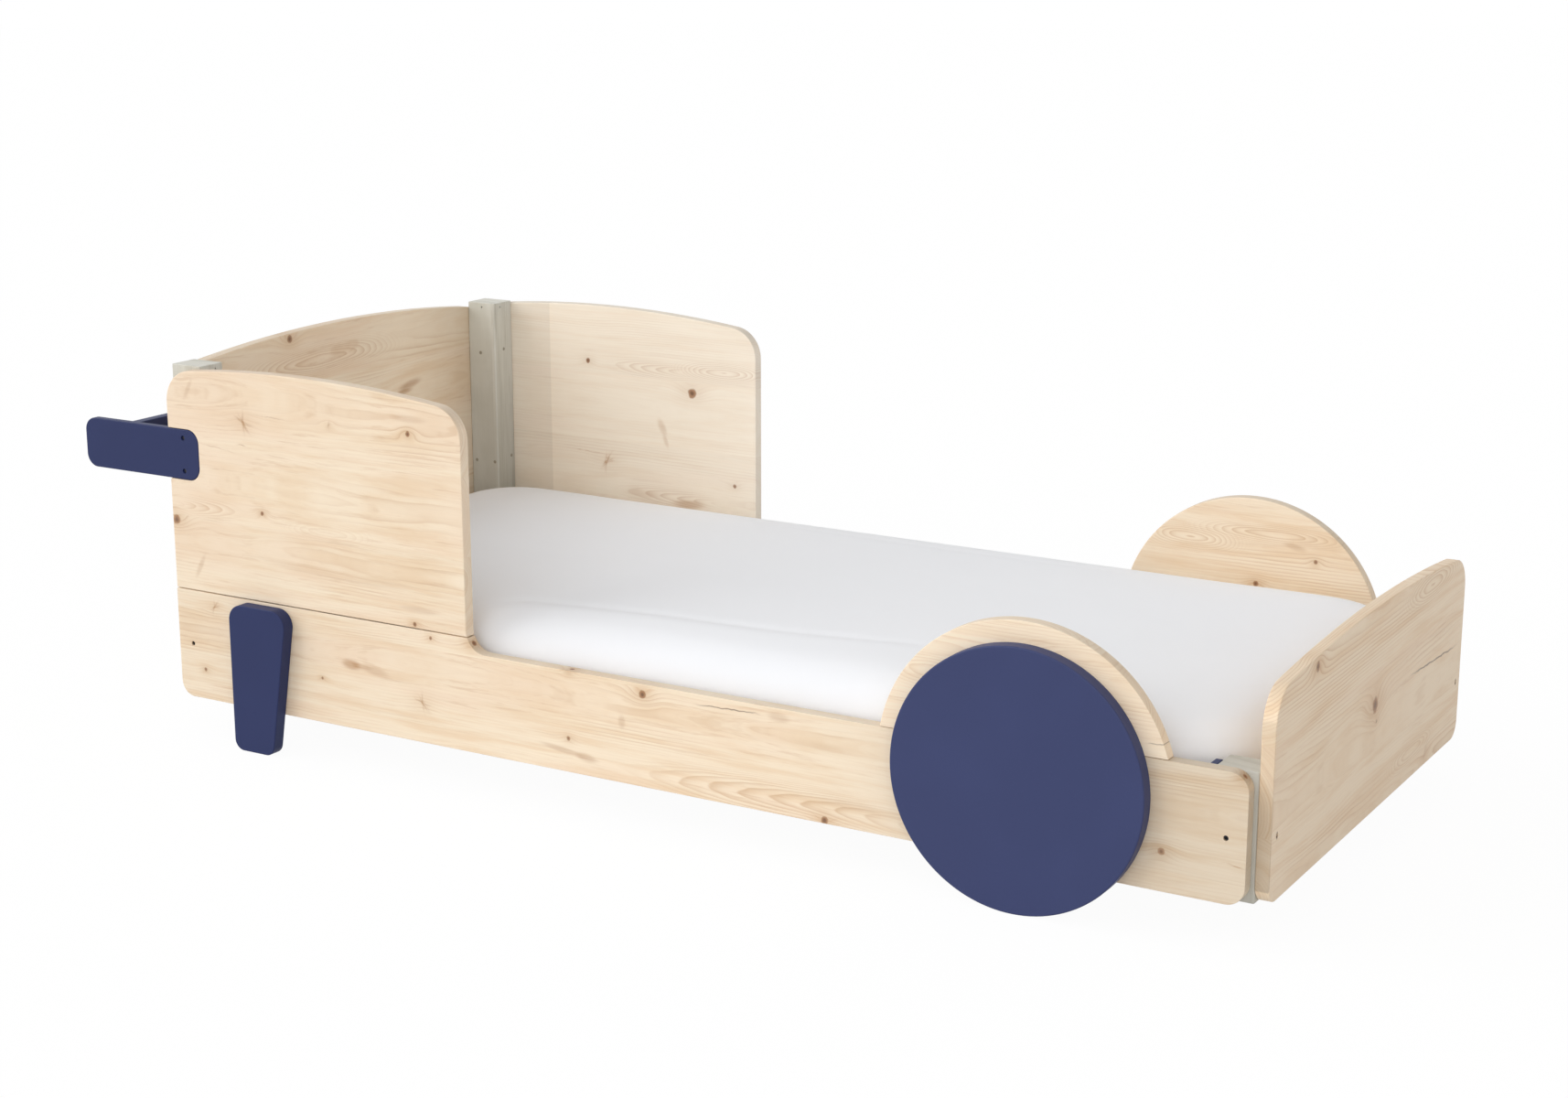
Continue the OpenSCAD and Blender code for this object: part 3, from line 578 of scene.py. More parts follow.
def near_rail_wood(settings):
    grain = Grain("near_rail_pine", "xzy", 3.0, (0.0, 0.175, -0.471))
    grain.marks(
        "knot",
        (-0.368, 0.264, 0.0035, 0.8), (-0.887, 0.13, 0.0035, 0.8), (-0.612, 0.156, 0.0028, 0.7),
        (-0.085, 0.133, 0.004, 0.8), (0.063, 0.232, 0.0068, 1.0), (0.404, 0.079, 0.0065, 0.9),
        (0.968, 0.136, 0.006, 0.8), (-0.283, 0.266, 0.0052, 1.2, 0.0), (-0.082, 0.25, 0.0044, 1.2, 0.0),
        (1.088, 0.27, 0.0044, 1.2, 0.0),
    )
    grain.marks(
        "smudge",
        (-0.545, 0.191, 0.02, 0.0088, -0.05, 1.05), (-0.522, 0.19, 0.02, 0.005, -0.05, 0.5),
        (-0.49, 0.186, 0.027, 0.008, -0.12, 0.5), (-0.098, 0.111, 0.042, 0.005, -0.11, 0.55),
        (-0.05, 0.105, 0.02, 0.007, -0.11, 0.6), (0.32, 0.235, 0.019, 0.0085, -0.05, 0.45),
        (0.022, 0.179, 0.007, 0.011, 0.0, 0.45), (0.45, 0.112, 0.06, 0.008, 0.0, 0.2),
    )
    grain.marks("bud", (-0.391, 0.147, 0.055, -0.8, 0.9), (-0.859, 0.25, 0.042, 0.9, 0.8))
    grain.marks("stroke", (1.082, 0.135, 0.028, 0.0012, -0.1, 1.2))
    grain.marks("swirl", (0.3, 0.098, 0.23, 0.036, 8.0, 1.0, -1.0))
    grain.marks(
        "group",
        (0.03, 0.154, 0.1, 0.012, 1.0), (0.423, 0.213, 0.045, 0.012, 0.8),
        (-0.52, 0.25, 0.13, 0.014, 0.5), (-0.82, 0.105, 0.07, 0.014, 0.5),
        (1.0, 0.245, 0.08, 0.02, 0.8),
    )
    grain.marks("patch", (0.402, 0.2, 0.05, 0.008))
    grain.marks("crack", (0.16, 0.232, 0.13, 0.003, 0.0008, 0.8))
    # Painted light: the rail is painted brighter in the middle and darker towards both ends, where less
    # light falls; the cut foot end is darker end grain
    shade = grain.along.ramp(-0.9, 0.1, 0.965, 1.03) * grain.along.ramp(0.30, 1.0, 1.0, 0.80)
    shade = shade * grain.along.ramp(1.0972, 1.0982, 1.0, 0.86)
    return pine(grain, settings, board_tones(settings), shade=shade)


def near_side_board_wood(settings):
    grain = Grain("near_side_board_pine", "xzy", 8.0, (-0.62, 0.482, -0.471))
    grain.marks(
        "knot",
        (-0.402, 0.614, 0.0048, 1.0), (-0.733, 0.438, 0.0038, 0.9), (-0.401, 0.284, 0.004, 0.9),
        (-0.937, 0.403, 0.0085, 0.9),
    )
    grain.marks(
        "smudge",
        (-0.402, 0.64, 0.04, 0.006, 0.0, 0.45), (-0.391, 0.31, 0.04, 0.006, 0.0, 0.45),
        (-0.885, 0.324, 0.024, 0.005, 1.08, 0.4), (-0.893, 0.645, 0.02, 0.0045, 1.08, 0.35),
        (-0.64, 0.35, 0.09, 0.008, -0.04, 0.18), (-0.48, 0.345, 0.07, 0.009, 0.02, 0.18),
    )
    grain.marks("bud", (-0.768, 0.598, 0.062), (-0.574, 0.612, 0.024, 1.2, 0.5))
    grain.marks(
        "stroke",
        (-0.773, 0.556, 0.016, 0.0012, 0.0, 1.3), (-0.7, 0.612, 0.06, 0.0012, -0.05, 0.6),
        (-0.83, 0.545, 0.07, 0.0012, -0.12, 0.5),
    )
    grain.marks(
        "swirl",
        (-0.855, 0.434, 0.06, 0.02, 4.0, 0.9, 1.0), (-0.585, 0.421, 0.09, 0.018, 4.0, 0.35),
    )
    grain.marks(
        "group",
        (-0.364, 0.587, 0.075, 0.018, 1.0), (-0.35, 0.37, 0.085, 0.022, 1.0),
        (-0.82, 0.48, 0.1, 0.012, 0.5),
    )
    return pine(grain, settings, board_tones(settings))


def far_side_board_wood(settings):
    grain = Grain("far_side_board_pine", "xzy", 14.0, (-0.62, 0.482, 0.471))
    grain.marks("knot", (-0.691, 0.573, 0.005), (-0.44, 0.529, 0.0096), (-0.341, 0.35, 0.0042, 0.8))
    grain.marks("bud", (-0.651, 0.367, 0.062, 1.0))
    grain.marks(
        "smudge",
        (-0.512, 0.452, 0.018, 0.008, -1.1, 0.45), (-0.504, 0.425, 0.014, 0.005, -1.2, 0.35),
        (-0.45, 0.3, 0.036, 0.009, 0.05, 0.8), (-0.56, 0.31, 0.045, 0.007, 0.0, 0.35),
    )
    grain.marks("stroke", (-0.7, 0.385, 0.07, 0.0012, -0.05, 0.6))
    grain.marks(
        "swirl",
        (-0.545, 0.57, 0.08, 0.02, 5.0, 1.6, -1.0), (-0.368, 0.576, 0.1, 0.022, 6.0, 1.8),
        (-0.5, 0.31, 0.1, 0.022, 5.0, 1.6, -1.0),
    )
    grain.marks("group", (-0.62, 0.385, 0.14, 0.016, 0.6), (-0.34, 0.42, 0.06, 0.016, 0.6))
    # Painted shadow: the inner face is painted darker beside the head post, as the post's shadow
    post_shadow = (grain.along + 0.165).ramp(0.0010, -0.0010) * grain.through.ramp(0.002, -0.002)
    return pine(grain, settings, painted_light_tones(settings), 0.85, shade=1.0 - post_shadow * 0.10)


def far_rail_wood(settings):
    grain = Grain("far_rail_pine", "xzy", 21.0, (0.0, 0.175, 0.471))
    grain.marks("knot", (-0.7, 0.195, 0.006), (0.18, 0.145, 0.008), (0.83, 0.205, 0.005))
    grain.marks("bud", (-0.25, 0.195, 0.06))
    grain.marks("smudge", (0.52, 0.155, 0.045, 0.008, -0.1, 0.6))
    grain.marks("swirl", (-0.45, 0.145, 0.2, 0.04, 7.0), (0.45, 0.215, 0.18, 0.03, 5.0, 0.8))
    return pine(grain, settings, board_tones(settings))


def near_arch_wood(settings):
    grain = Grain("near_arch_pine", "xzy", 27.0, (0.743, 0.35, -0.471))
    grain.marks("swirl", (0.843, 0.41, 0.12, 0.026, 5.0, 0.7), (0.583, 0.35, 0.08, 0.03, 5.0, 0.9))
    grain.marks("group", (0.903, 0.34, 0.08, 0.02, 0.7))
    grain.marks("crack", (0.939, 0.296, 0.04, 0.003, 0.0006, 0.6))
    # Painted light: the arch is painted brighter, most towards the head end
    shade = grain.along.ramp(-0.05, 0.25, 1.08, 1.03)
    return pine(grain, settings, calm_tones(settings), 0.5, shade=shade)


def far_arch_wood(settings):
    grain = Grain("far_arch_pine", "xzy", 33.0, (0.743, 0.35, 0.471))
    grain.marks("knot", (0.861, 0.35, 0.0036, 0.8), (0.752, 0.297, 0.0052))
    grain.marks("swirl", (0.623, 0.369, 0.09, 0.028, 6.0, 0.8), (0.783, 0.39, 0.13, 0.02, 5.0, 0.9))
    grain.marks("group", (0.803, 0.34, 0.14, 0.03, 0.8))
    grain.marks("smudge", (0.823, 0.372, 0.02, 0.006, -0.2, 0.5))
    return pine(grain, settings, board_tones(settings), 0.8, shade=0.92)


def foot_panel_wood(settings):
    grain = Grain("foot_panel_pine", "yzx", 41.0, (0.0, 0.246, 1.116))
    grain.marks("knot", (-0.295, 0.393, 0.008), (-0.009, 0.256, 0.0125), (0.002, 0.227, 0.0035, 0.4))
    grain.marks("bud", (0.279, 0.095, 0.06, 1.0, 0.35))
    grain.marks("crack", (0.16, 0.2575, 0.28, -0.013, 0.0012, 0.85))
    # Painted shade of the bolts' holes on the outer face
    grain.marks("bolt", (-0.439, 0.177), (0.439, 0.177))
    grain.marks("swirl", (0.27, 0.39, 0.14, 0.032, 6.0, 0.9), (0.2, 0.12, 0.12, 0.024, 5.0, 0.6))
    grain.marks(
        "group",
        (-0.16, 0.35, 0.17, 0.024, 1.6), (-0.25, 0.31, 0.09, 0.018, 1.0),
        (0.12, 0.365, 0.15, 0.018, 1.1), (-0.2, 0.11, 0.2, 0.016, 0.9),
    )
    # The cut ends are darker end grain, and painted darker lower down as the rail's shadow
    cut_end = grain.along.size().ramp(0.4600, 0.4612)
    shade = 1.0 - cut_end * grain.across.ramp(-0.06, 0.04, 0.34, 0.10)
    return pine(grain, settings, tan_tones(settings), 0.8, 0.03, shade=shade, top=0.88)


def head_panel_wood(settings):
    grain = Grain("head_panel_pine", "yzx", 52.0, (0.0, 0.387, -0.960))
    grain.marks("knot", (-0.146, 0.682, 0.007, 0.9))
    grain.marks(
        "smudge",
        (0.205, 0.54, 0.034, 0.008, 0.15, 0.85), (0.185, 0.528, 0.026, 0.005, 0.05, 0.85),
    )
    grain.marks("swirl", (-0.06, 0.631, 0.2, 0.034, 7.0))
    grain.marks("group", (0.24, 0.61, 0.13, 0.02))
    # Painted shade: darker towards the far post, as the shade in that corner
    shade = grain.along.ramp(0.16, 0.42, 1.0, 0.82)
    return pine(grain, settings, board_tones(settings), shade=shade)


def post_wood(settings):
    grain = Grain("post_pine_grain", "zxy", 60.0)
    shade = grain.along.ramp(0.38, 0.68, 0.90, 1.12)
    return pine(grain, settings, post_tones(settings), 0.5, 0.02, 0.58, shade, 1.0)


def ledger_wood(settings):
    grain = Grain("ledger_pine", "xzy", 66.0, (0.0, 0.131, 0.0))
    return pine(grain, settings, board_tones(settings))


def birch_wood(settings):
    """Pressed birch slats: a fine straight grain along Y, with the layers showing at the sides."""
    graph = material_graph("birch_layers")
    along, across, through = graph.place("yxz")
    vector = graph.vector(along, across, through)
    fibres = graph.noise(vector, (7.0, 260.0, 90.0), 71, 3.0, 0.6)
    bands = graph.noise(vector, (1.6, 30.0, 6.0), 72)
    pores = graph.noise(vector, (120.0, 1500.0, 600.0), 73, 1.0)
    layer = (through / 0.002).part()
    streak = tuple(settings.birch_streak)
    colour = graph.blend(bands.ramp(0.35, 0.7) * 0.6, tuple(settings.birch), streak)
    colour = graph.blend(pores.ramp(0.62, 0.75) * 0.35, colour, tuple(settings.ring))
    colour = graph.blend(layer.ramp(0.72, 0.9) * 0.35, colour, streak)
    colour = graph.tint(colour, fibres * 0.08 + 0.95)
    return graph.finish(colour, fibres * 0.15 + 0.5, fibres - pores * 0.3, 0.00012)


def beech_wood(settings):
    """Fluted beech dowels, with the short dark flecks of beech."""
    graph = material_graph("beech_flecks")
    flecks = graph.noise(graph.vector(*graph.place()), 260.0, 81)
    colour = graph.blend(flecks.ramp(0.5, 0.7) * 0.5, tuple(settings.beech), tuple(settings.ring))
    return graph.finish(colour, 0.6, flecks, 0.0001)


def blue_paint(name, blue):
    """Satin paint with a faint orange peel and slow changes of shine."""
    graph = material_graph(name)
    vector = graph.vector(*graph.place())
    slow = graph.noise(vector, 6.0, 91)
    peel = graph.noise(vector, 620.0, 92)
    dust = graph.noise(vector, 240.0, 93, 1.0)
    dark = tuple(0.95 * c for c in blue)
    colour = graph.tint(graph.blend(slow.ramp(0.35, 0.65), dark, tuple(blue)), dust * 0.05 + 0.975)
    return graph.finish(colour, slow * 0.1 + 0.42, peel, 0.00005, Specular_IOR_Level=0.2)


def cover_cloth(settings):
    """A white knitted mattress cover: fine ribs one way and stitches the other."""
    graph = material_graph("white_knit_cover")
    x, y, z = graph.place()
    vector = graph.vector(x, y, z)
    rib = (x * (math.tau / 0.0016)).wave()
    stitch = ((y + z) * (math.tau / 0.0022)).wave()
    weave = rib * stitch
    fuzz = graph.noise(vector, 900.0, 95)
    slow = graph.noise(vector, (4.0, 6.0, 6.0), 96)
    # Painted shade: the cover is painted darker towards the head end, where the head panel and posts shade
    # it
    shade = (fuzz * 0.03 + slow * 0.02 + weave * 0.008 + 0.975) * x.ramp(-0.85, -0.25, 0.92, 1.0)
    colour = graph.tint(tuple(settings.cover), shade)
    height = weave * 0.35 + fuzz * 0.4
    return graph.finish(colour, fuzz * 0.1 + 0.82, height, 0.00025, Sheen_Weight=0.15, Sheen_Roughness=0.5)


def webbing_cloth(settings):
    """Woven polyester webbing, with a herringbone that runs along X."""
    graph = material_graph("slat_webbing_weave")
    x, y, z = graph.place()
    zigzag = ((y / 0.006).part() - 0.5).size() * 0.006
    twill = ((x + zigzag) * (math.tau / 0.0018)).wave()
    fuzz = graph.noise(graph.vector(x, y, z), (500.0, 900.0, 500.0), 97)
    colour = graph.tint(tuple(settings.webbing), twill * 0.05 + fuzz * 0.08 + 0.9)
    return graph.finish(colour, fuzz * 0.1 + 0.8, twill + fuzz * 0.5, 0.0002)


def zinc_steel(name, steel, shine=0.3):
    """Zinc-plated steel, slightly blotched."""
    graph = material_graph(name)
    vector = graph.vector(*graph.place())
    blotch = graph.noise(vector, 160.0, 98, 3.0)
    scratch = graph.noise(vector, (900.0, 900.0, 120.0), 99)
    colour = graph.tint(tuple(steel), blotch * 0.3 + 0.85)
    return graph.finish(colour, blotch * 0.2 + shine, scratch, 0.00003, Metallic=1.0)


def deselect():
    """Leaves edit mode and leaves nothing selected or active."""
    if bpy.context.object is not None and bpy.context.object.mode != "OBJECT":
        bpy.ops.object.mode_set(mode="OBJECT")
    bpy.ops.object.select_all(action="DESELECT")
    bpy.context.view_layer.objects.active = None


def pick(piece):
    """Makes one piece the only selected and active one."""
    deselect()
    piece.select_set(True)
    bpy.context.view_layer.objects.active = piece


def newest(name):
    """The object that the last operator made, with its new name."""
    piece = bpy.context.view_layer.objects.active
    piece.name = name
    return piece


def modify(piece, kind, **settings):
    """Adds a modifier with its settings to a piece and applies it."""
    pick(piece)
    bpy.ops.object.modifier_add(type=kind)
    modifier = piece.modifiers[-1]
    for name, value in settings.items():
        setattr(modifier, name, value)
    bpy.ops.object.modifier_apply(modifier=modifier.name)


def give(piece, material):
    """Gives a piece or a CAD node one material."""
    if not piece.material_slots:
        piece.data.materials.append(material)
    for slot in piece.material_slots:
        slot.material = material


def dress(piece, material, slot, *nodes):
    """Finishes a new piece: its material, its body and the CAD nodes it stands for. The slot is not used.
    """
    give(piece, material)
    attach(piece, BODY)
    if nodes:
        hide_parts(*nodes)


def merged_copy(node, name):
    """A copy of a CAD node as one closed mesh, with its flat faces whole again."""
    pick(NODES[node])
    bpy.ops.object.duplicate()
    piece = newest(name)
    piece.data.name = name
    for key in [k for k in piece.keys() if k.startswith("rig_")]:
        del piece[key]
    piece.parent = None
    if piece.data.has_custom_normals:
        bpy.ops.mesh.customdata_custom_splitnormals_clear()
    bpy.ops.object.mode_set(mode="EDIT")
    bpy.ops.mesh.select_all(action="SELECT")
    bpy.ops.mesh.remove_doubles(threshold=0.00001)
    bpy.ops.mesh.dissolve_limited(angle_limit=math.radians(0.2))
    bpy.ops.object.mode_set(mode="OBJECT")
    return piece


def edge_loops(bm):
    """Groups of joined sharp edges that stand outwards."""
    left = {
        e for e in bm.edges
        if len(e.link_faces) == 2 and e.is_convex and e.calc_face_angle(0.0) > SHARP_EDGE
    }
    loops = []
    while left:
        todo = [left.pop()]
        loop = []
        while todo:
            edge = todo.pop()
            loop.append(edge)
            touching = {other for vertex in edge.verts for other in vertex.link_edges} & left
            left -= touching
            todo.extend(touching)
        loops.append(loop)
    return loops


def reach(edges):
    """Longest side of the box round some edges."""
    places = [v.co for e in edges for v in e.verts]
    return max(max(p[i] for p in places) - min(p[i] for p in places) for i in range(3))


def round_edges(piece, radius, joint_radius, joints):
    """Rounds the outer edges, but not the rims of holes, and the edges of joints much less."""
    pick(piece)
    bpy.ops.object.mode_set(mode="EDIT")
    bm = bmesh.from_edit_mesh(piece.data)
    weights = bm.edges.layers.float.get("bevel_weight_edge")
    if weights is None:
        weights = bm.edges.layers.float.new("bevel_weight_edge")
    for loop in edge_loops(bm):
        if reach(loop) < SMALLEST_RIM:
            continue
        for edge in loop:
            heights = [v.co.z for v in edge.verts]
            meets = any(max(abs(z - joint[0]) for z in heights) < JOINT_REACH for joint in joints)
            edge[weights] = joint_radius / radius if meets else 1.0
    bmesh.update_edit_mesh(piece.data)
    modify(piece, "BEVEL", limit_method="WEIGHT", width=radius, segments=3, miter_outer="MITER_ARC")
    bpy.ops.object.shade_smooth_by_angle(angle=SMOOTH_EDGE)
    modify(piece, "WEIGHTED_NORMAL", keep_sharp=True, weight=90)


def mark_tops(piece):
    """Notes on each face how far it looks up, for the painted shade that the boards' materials put on
    faces that look up.
    """
    layer = piece.data.attributes.new(LOOKS_UP, "FLOAT", "FACE")
    shares = [max(0.0, min(1.0, (p.normal.z - 0.35) / 0.45)) for p in piece.data.polygons]
    layer.data.foreach_set("value", shares)


def shadow_gap(piece, joint, depth=0.005, gap=0.0009):
    """Draws the rim of a joint face back, so that a fine dark line shows where two boards meet."""
    height, low, high = joint
    pick(piece)
    bpy.ops.object.mode_set(mode="EDIT")
    bpy.ops.mesh.select_all(action="DESELECT")
    bpy.ops.mesh.select_mode(type="FACE")
    bm = bmesh.from_edit_mesh(piece.data)
    up = 0.0
    for face in bm.faces:
        flat = abs(face.normal.z) > 0.99 and abs(face.calc_center_median().z - height) < 0.0001
        if flat and all(low < v.co.x < high for v in face.verts):
            face.select_set(True)
            up = face.normal.z
    bmesh.update_edit_mesh(piece.data)
    if not up:
        raise RuntimeError(f"{piece.name} has no joint face at height {height:.3f}")
    bpy.ops.transform.translate(value=(0.0, 0.0, -gap if up > 0.0 else gap))
    bpy.ops.mesh.inset(thickness=depth, depth=gap)
    bpy.ops.object.mode_set(mode="OBJECT")


def rounded_board(node, material, slot, radius, joint_radius=0.0, joints=()):
    """One CAD board with rounded edges and its own finish."""
    piece = merged_copy(node, node + "_finished")
    for joint in joints:
        shadow_gap(piece, joint)
    round_edges(piece, radius, joint_radius, joints)
    mark_tops(piece)
    dress(piece, material, slot, node)


def is_slat(name):
    return name.startswith("slat_") and name[5:].isdigit()


class KIDSBED_OT_side_rails(bpy.types.Operator):
    """Finish the two long rails"""

    bl_idname = "kids_bed.side_rails"
    bl_label = "Side Rails"

    def execute(self, context):
        wood = context.scene.kids_bed_wood
        sizes = (wood.edge_round, wood.joint_round, (HEAD_JOINT,))
        rounded_board("near_side_rail", near_rail_wood(wood), "pine", *sizes)
        rounded_board("far_side_rail", far_rail_wood(wood), "pine", *sizes)
        return {"FINISHED"}


class KIDSBED_OT_head_side_boards(bpy.types.Operator):
    """Finish the raised side boards beside the head"""

    bl_idname = "kids_bed.head_side_boards"
    bl_label = "Head Side Boards"

    def execute(self, context):
        wood = context.scene.kids_bed_wood
        sizes = (wood.edge_round, wood.joint_round, (HEAD_JOINT,))
        rounded_board("near_head_side_board", near_side_board_wood(wood), "pine", *sizes)
        rounded_board("far_head_side_board", far_side_board_wood(wood), "pine", *sizes)
        return {"FINISHED"}


class KIDSBED_OT_wheel_arches(bpy.types.Operator):
    """Finish the half-round arches above the wheels"""

    bl_idname = "kids_bed.wheel_arches"
    bl_label = "Wheel Arches"

    def execute(self, context):
        wood = context.scene.kids_bed_wood
        low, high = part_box("near_wheel_arch")
        joints = [(z, low.x - 0.01, high.x + 0.01) for z in (low.z, JOINT_HEIGHT)]
        sizes = (wood.edge_round, wood.joint_round, joints)
        rounded_board("near_wheel_arch", near_arch_wood(wood), "pine", *sizes)
        rounded_board("far_wheel_arch", far_arch_wood(wood), "pine", *sizes)
        return {"FINISHED"}


class KIDSBED_OT_end_panels(bpy.types.Operator):
    """Finish the head panel and the foot panel"""

    bl_idname = "kids_bed.end_panels"
    bl_label = "End Panels"

    def execute(self, context):
        wood = context.scene.kids_bed_wood
        rounded_board("head_panel", head_panel_wood(wood), "pine", wood.edge_round)
        rounded_board("foot_panel", foot_panel_wood(wood), "pine", wood.edge_round)
        return {"FINISHED"}


class KIDSBED_OT_corner_posts(bpy.types.Operator):
    """Finish the four grey corner posts"""

    bl_idname = "kids_bed.corner_posts"
    bl_label = "Corner Posts"

    def execute(self, context):
        wood = context.scene.kids_bed_wood
        material = post_wood(wood)
        for node in ("near_head_post", "far_head_post", "near_foot_post", "far_foot_post"):
            rounded_board(node, material, "post_pine", wood.edge_round * 0.75)
        return {"FINISHED"}


class KIDSBED_OT_painted_parts(bpy.types.Operator):
    """Finish the wheel discs, legs, grab handle and corner packers"""

    bl_idname = "kids_bed.painted_parts"
    bl_label = "Painted Parts"

    def execute(self, context):
        paint = context.scene.kids_bed_paint
        disc_paint = blue_paint("disc_satin_paint", paint.blue)
        deep_paint = blue_paint("deep_satin_paint", paint.deep_blue)
        for side in ("near_", "far_"):
            rounded_board(side + "wheel_disc", disc_paint, "blue_paint", paint.edge_round)
            for part in ("leg", "handle_arm", "corner_packer"):
                rounded_board(side + part, deep_paint, "blue_paint", paint.edge_round)
        rounded_board("handle_bar", deep_paint, "blue_paint", paint.edge_round)
        return {"FINISHED"}


class KIDSBED_OT_slatted_base(bpy.types.Operator):
    """Finish the ledgers and the slats"""

    bl_idname = "kids_bed.slatted_base"
    bl_label = "Slatted Base"

    def execute(self, context):
        wood = context.scene.kids_bed_wood
        ledger = ledger_wood(wood)
        for node in ("near_slat_ledger", "far_slat_ledger"):
            rounded_board(node, ledger, "pine", wood.edge_round * 0.75)
        birch = birch_wood(wood)
        for node in sorted(filter(is_slat, NODES)):
            rounded_board(node, birch, "slat_birch", wood.slat_round)
        return {"FINISHED"}


class KIDSBED_OT_webbing(bpy.types.Operator):
    """Lay the two webbing tapes under the slats and staple them on"""

    bl_idname = "kids_bed.webbing"
    bl_label = "Slat Webbing"

    HALF_WIDTH = 0.0125
    THICKNESS = 0.001
    WIRE = 0.0009
    STAPLE = 0.010
    # Each staple's distance from the middle of its slat
    STAPLE_ASIDE = 0.016

    def execute(self, context):
        bedding = context.scene.kids_bed_bedding
        low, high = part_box("slat_tapes")
        boxes = [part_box(node) for node in NODES if is_slat(node)]
        middles = sorted((box[0].x + box[1].x) / 2 for box in boxes)
        half_slat = (boxes[0][1].x - boxes[0][0].x) / 2
        run = high.y - self.HALF_WIDTH
        cloth = webbing_cloth(bedding)
        for name, y, nodes in (
            ("near_webbing_tape", -run, ("slat_tapes",)),
            ("far_webbing_tape", run, ()),
        ):
            bpy.ops.mesh.primitive_grid_add(
                x_subdivisions=160,
                y_subdivisions=6,
                size=1.0,
                location=((low.x + high.x) / 2, y, (low.z + high.z) / 2),
            )
            tape = newest(name)
            tape.scale = (high.x - low.x, 2 * self.HALF_WIDTH, 1.0)
            bpy.ops.object.transform_apply(location=True, rotation=False, scale=True)
            for vertex in tape.data.vertices:
                gap = min(abs(vertex.co.x - middle) for middle in middles)
                sag = max(0.0, min(1.0, (gap - half_slat) / 0.03))
                vertex.co.z += 0.00015 - 0.0003 * sag
            modify(tape, "SOLIDIFY", thickness=self.THICKNESS, offset=0.0)
            bpy.ops.object.shade_smooth_by_angle(angle=math.radians(40.0))
            dress(tape, cloth, "tape", *nodes)
        offsets = (-self.STAPLE_ASIDE, self.STAPLE_ASIDE)
        places = [(x + aside, y) for x in middles for aside in offsets for y in (-run, run)]
        self.staples(places, low.z, zinc_steel("staple_wire", bedding.dull_steel))
        return {"FINISHED"}

    def staples(self, places, height, steel):
        """Bends one wire staple and copies it to each place, with its back below the tape."""
        wire = self.WIRE
        deselect()
        bpy.ops.mesh.primitive_cube_add(size=1.0, location=(0.0, 0.0, height - wire * 0.2))
        first = newest("webbing_staples")
        first.scale = (wire, self.STAPLE, wire * 0.8)
        bpy.ops.object.transform_apply(location=True, rotation=False, scale=True)
        bpy.ops.object.mode_set(mode="EDIT")
        for end in (-1.0, 1.0):
            bpy.ops.mesh.select_mode(type="FACE")
            bpy.ops.mesh.select_all(action="DESELECT")
            bm = bmesh.from_edit_mesh(first.data)
            for face in bm.faces:
                face.select_set(face.normal.y * end > 0.9)
            bmesh.update_edit_mesh(first.data)
            bpy.ops.mesh.extrude_region_move(
                TRANSFORM_OT_translate={"value": (0.0, end * wire * 0.5, wire * 0.6)}
            )
        modify(first, "BEVEL", width=wire * 0.3, segments=2)
        bpy.ops.object.shade_smooth_by_angle(angle=math.radians(50.0))
        copies = []
        for x, y in places[1:]:
            pick(first)
            bpy.ops.object.duplicate(linked=False)
            bpy.ops.transform.translate(value=(x, y, 0.0))
            copies.append(bpy.context.view_layer.objects.active)
        pick(first)
        bpy.ops.transform.translate(value=(*places[0], 0.0))
        for copy in copies:
            copy.select_set(True)
        bpy.ops.object.join()
        bpy.ops.object.transform_apply(location=True, rotation=True, scale=True)
        dress(first, steel, "zinc_steel")


class KIDSBED_OT_fasteners(bpy.types.Operator):
    """Finish the screws, bolts, barrel nuts and dowels"""

    bl_idname = "kids_bed.fasteners"
    bl_label = "Fasteners"

    def execute(self, context):
        bedding = context.scene.kids_bed_bedding
        steel = zinc_steel("zinc_plated_steel", bedding.steel)
        dull = zinc_steel("dull_zinc_steel", bedding.dull_steel, 0.45)
        beech = beech_wood(context.scene.kids_bed_wood)
        for name in sorted(NODES):
            if name.endswith(("_screws", "_bolts", "_nuts")):
                give(NODES[name], dull if name == "head_post_screws" else steel)
            elif name.endswith("_dowels"):
                give(NODES[name], beech)
        return {"FINISHED"}


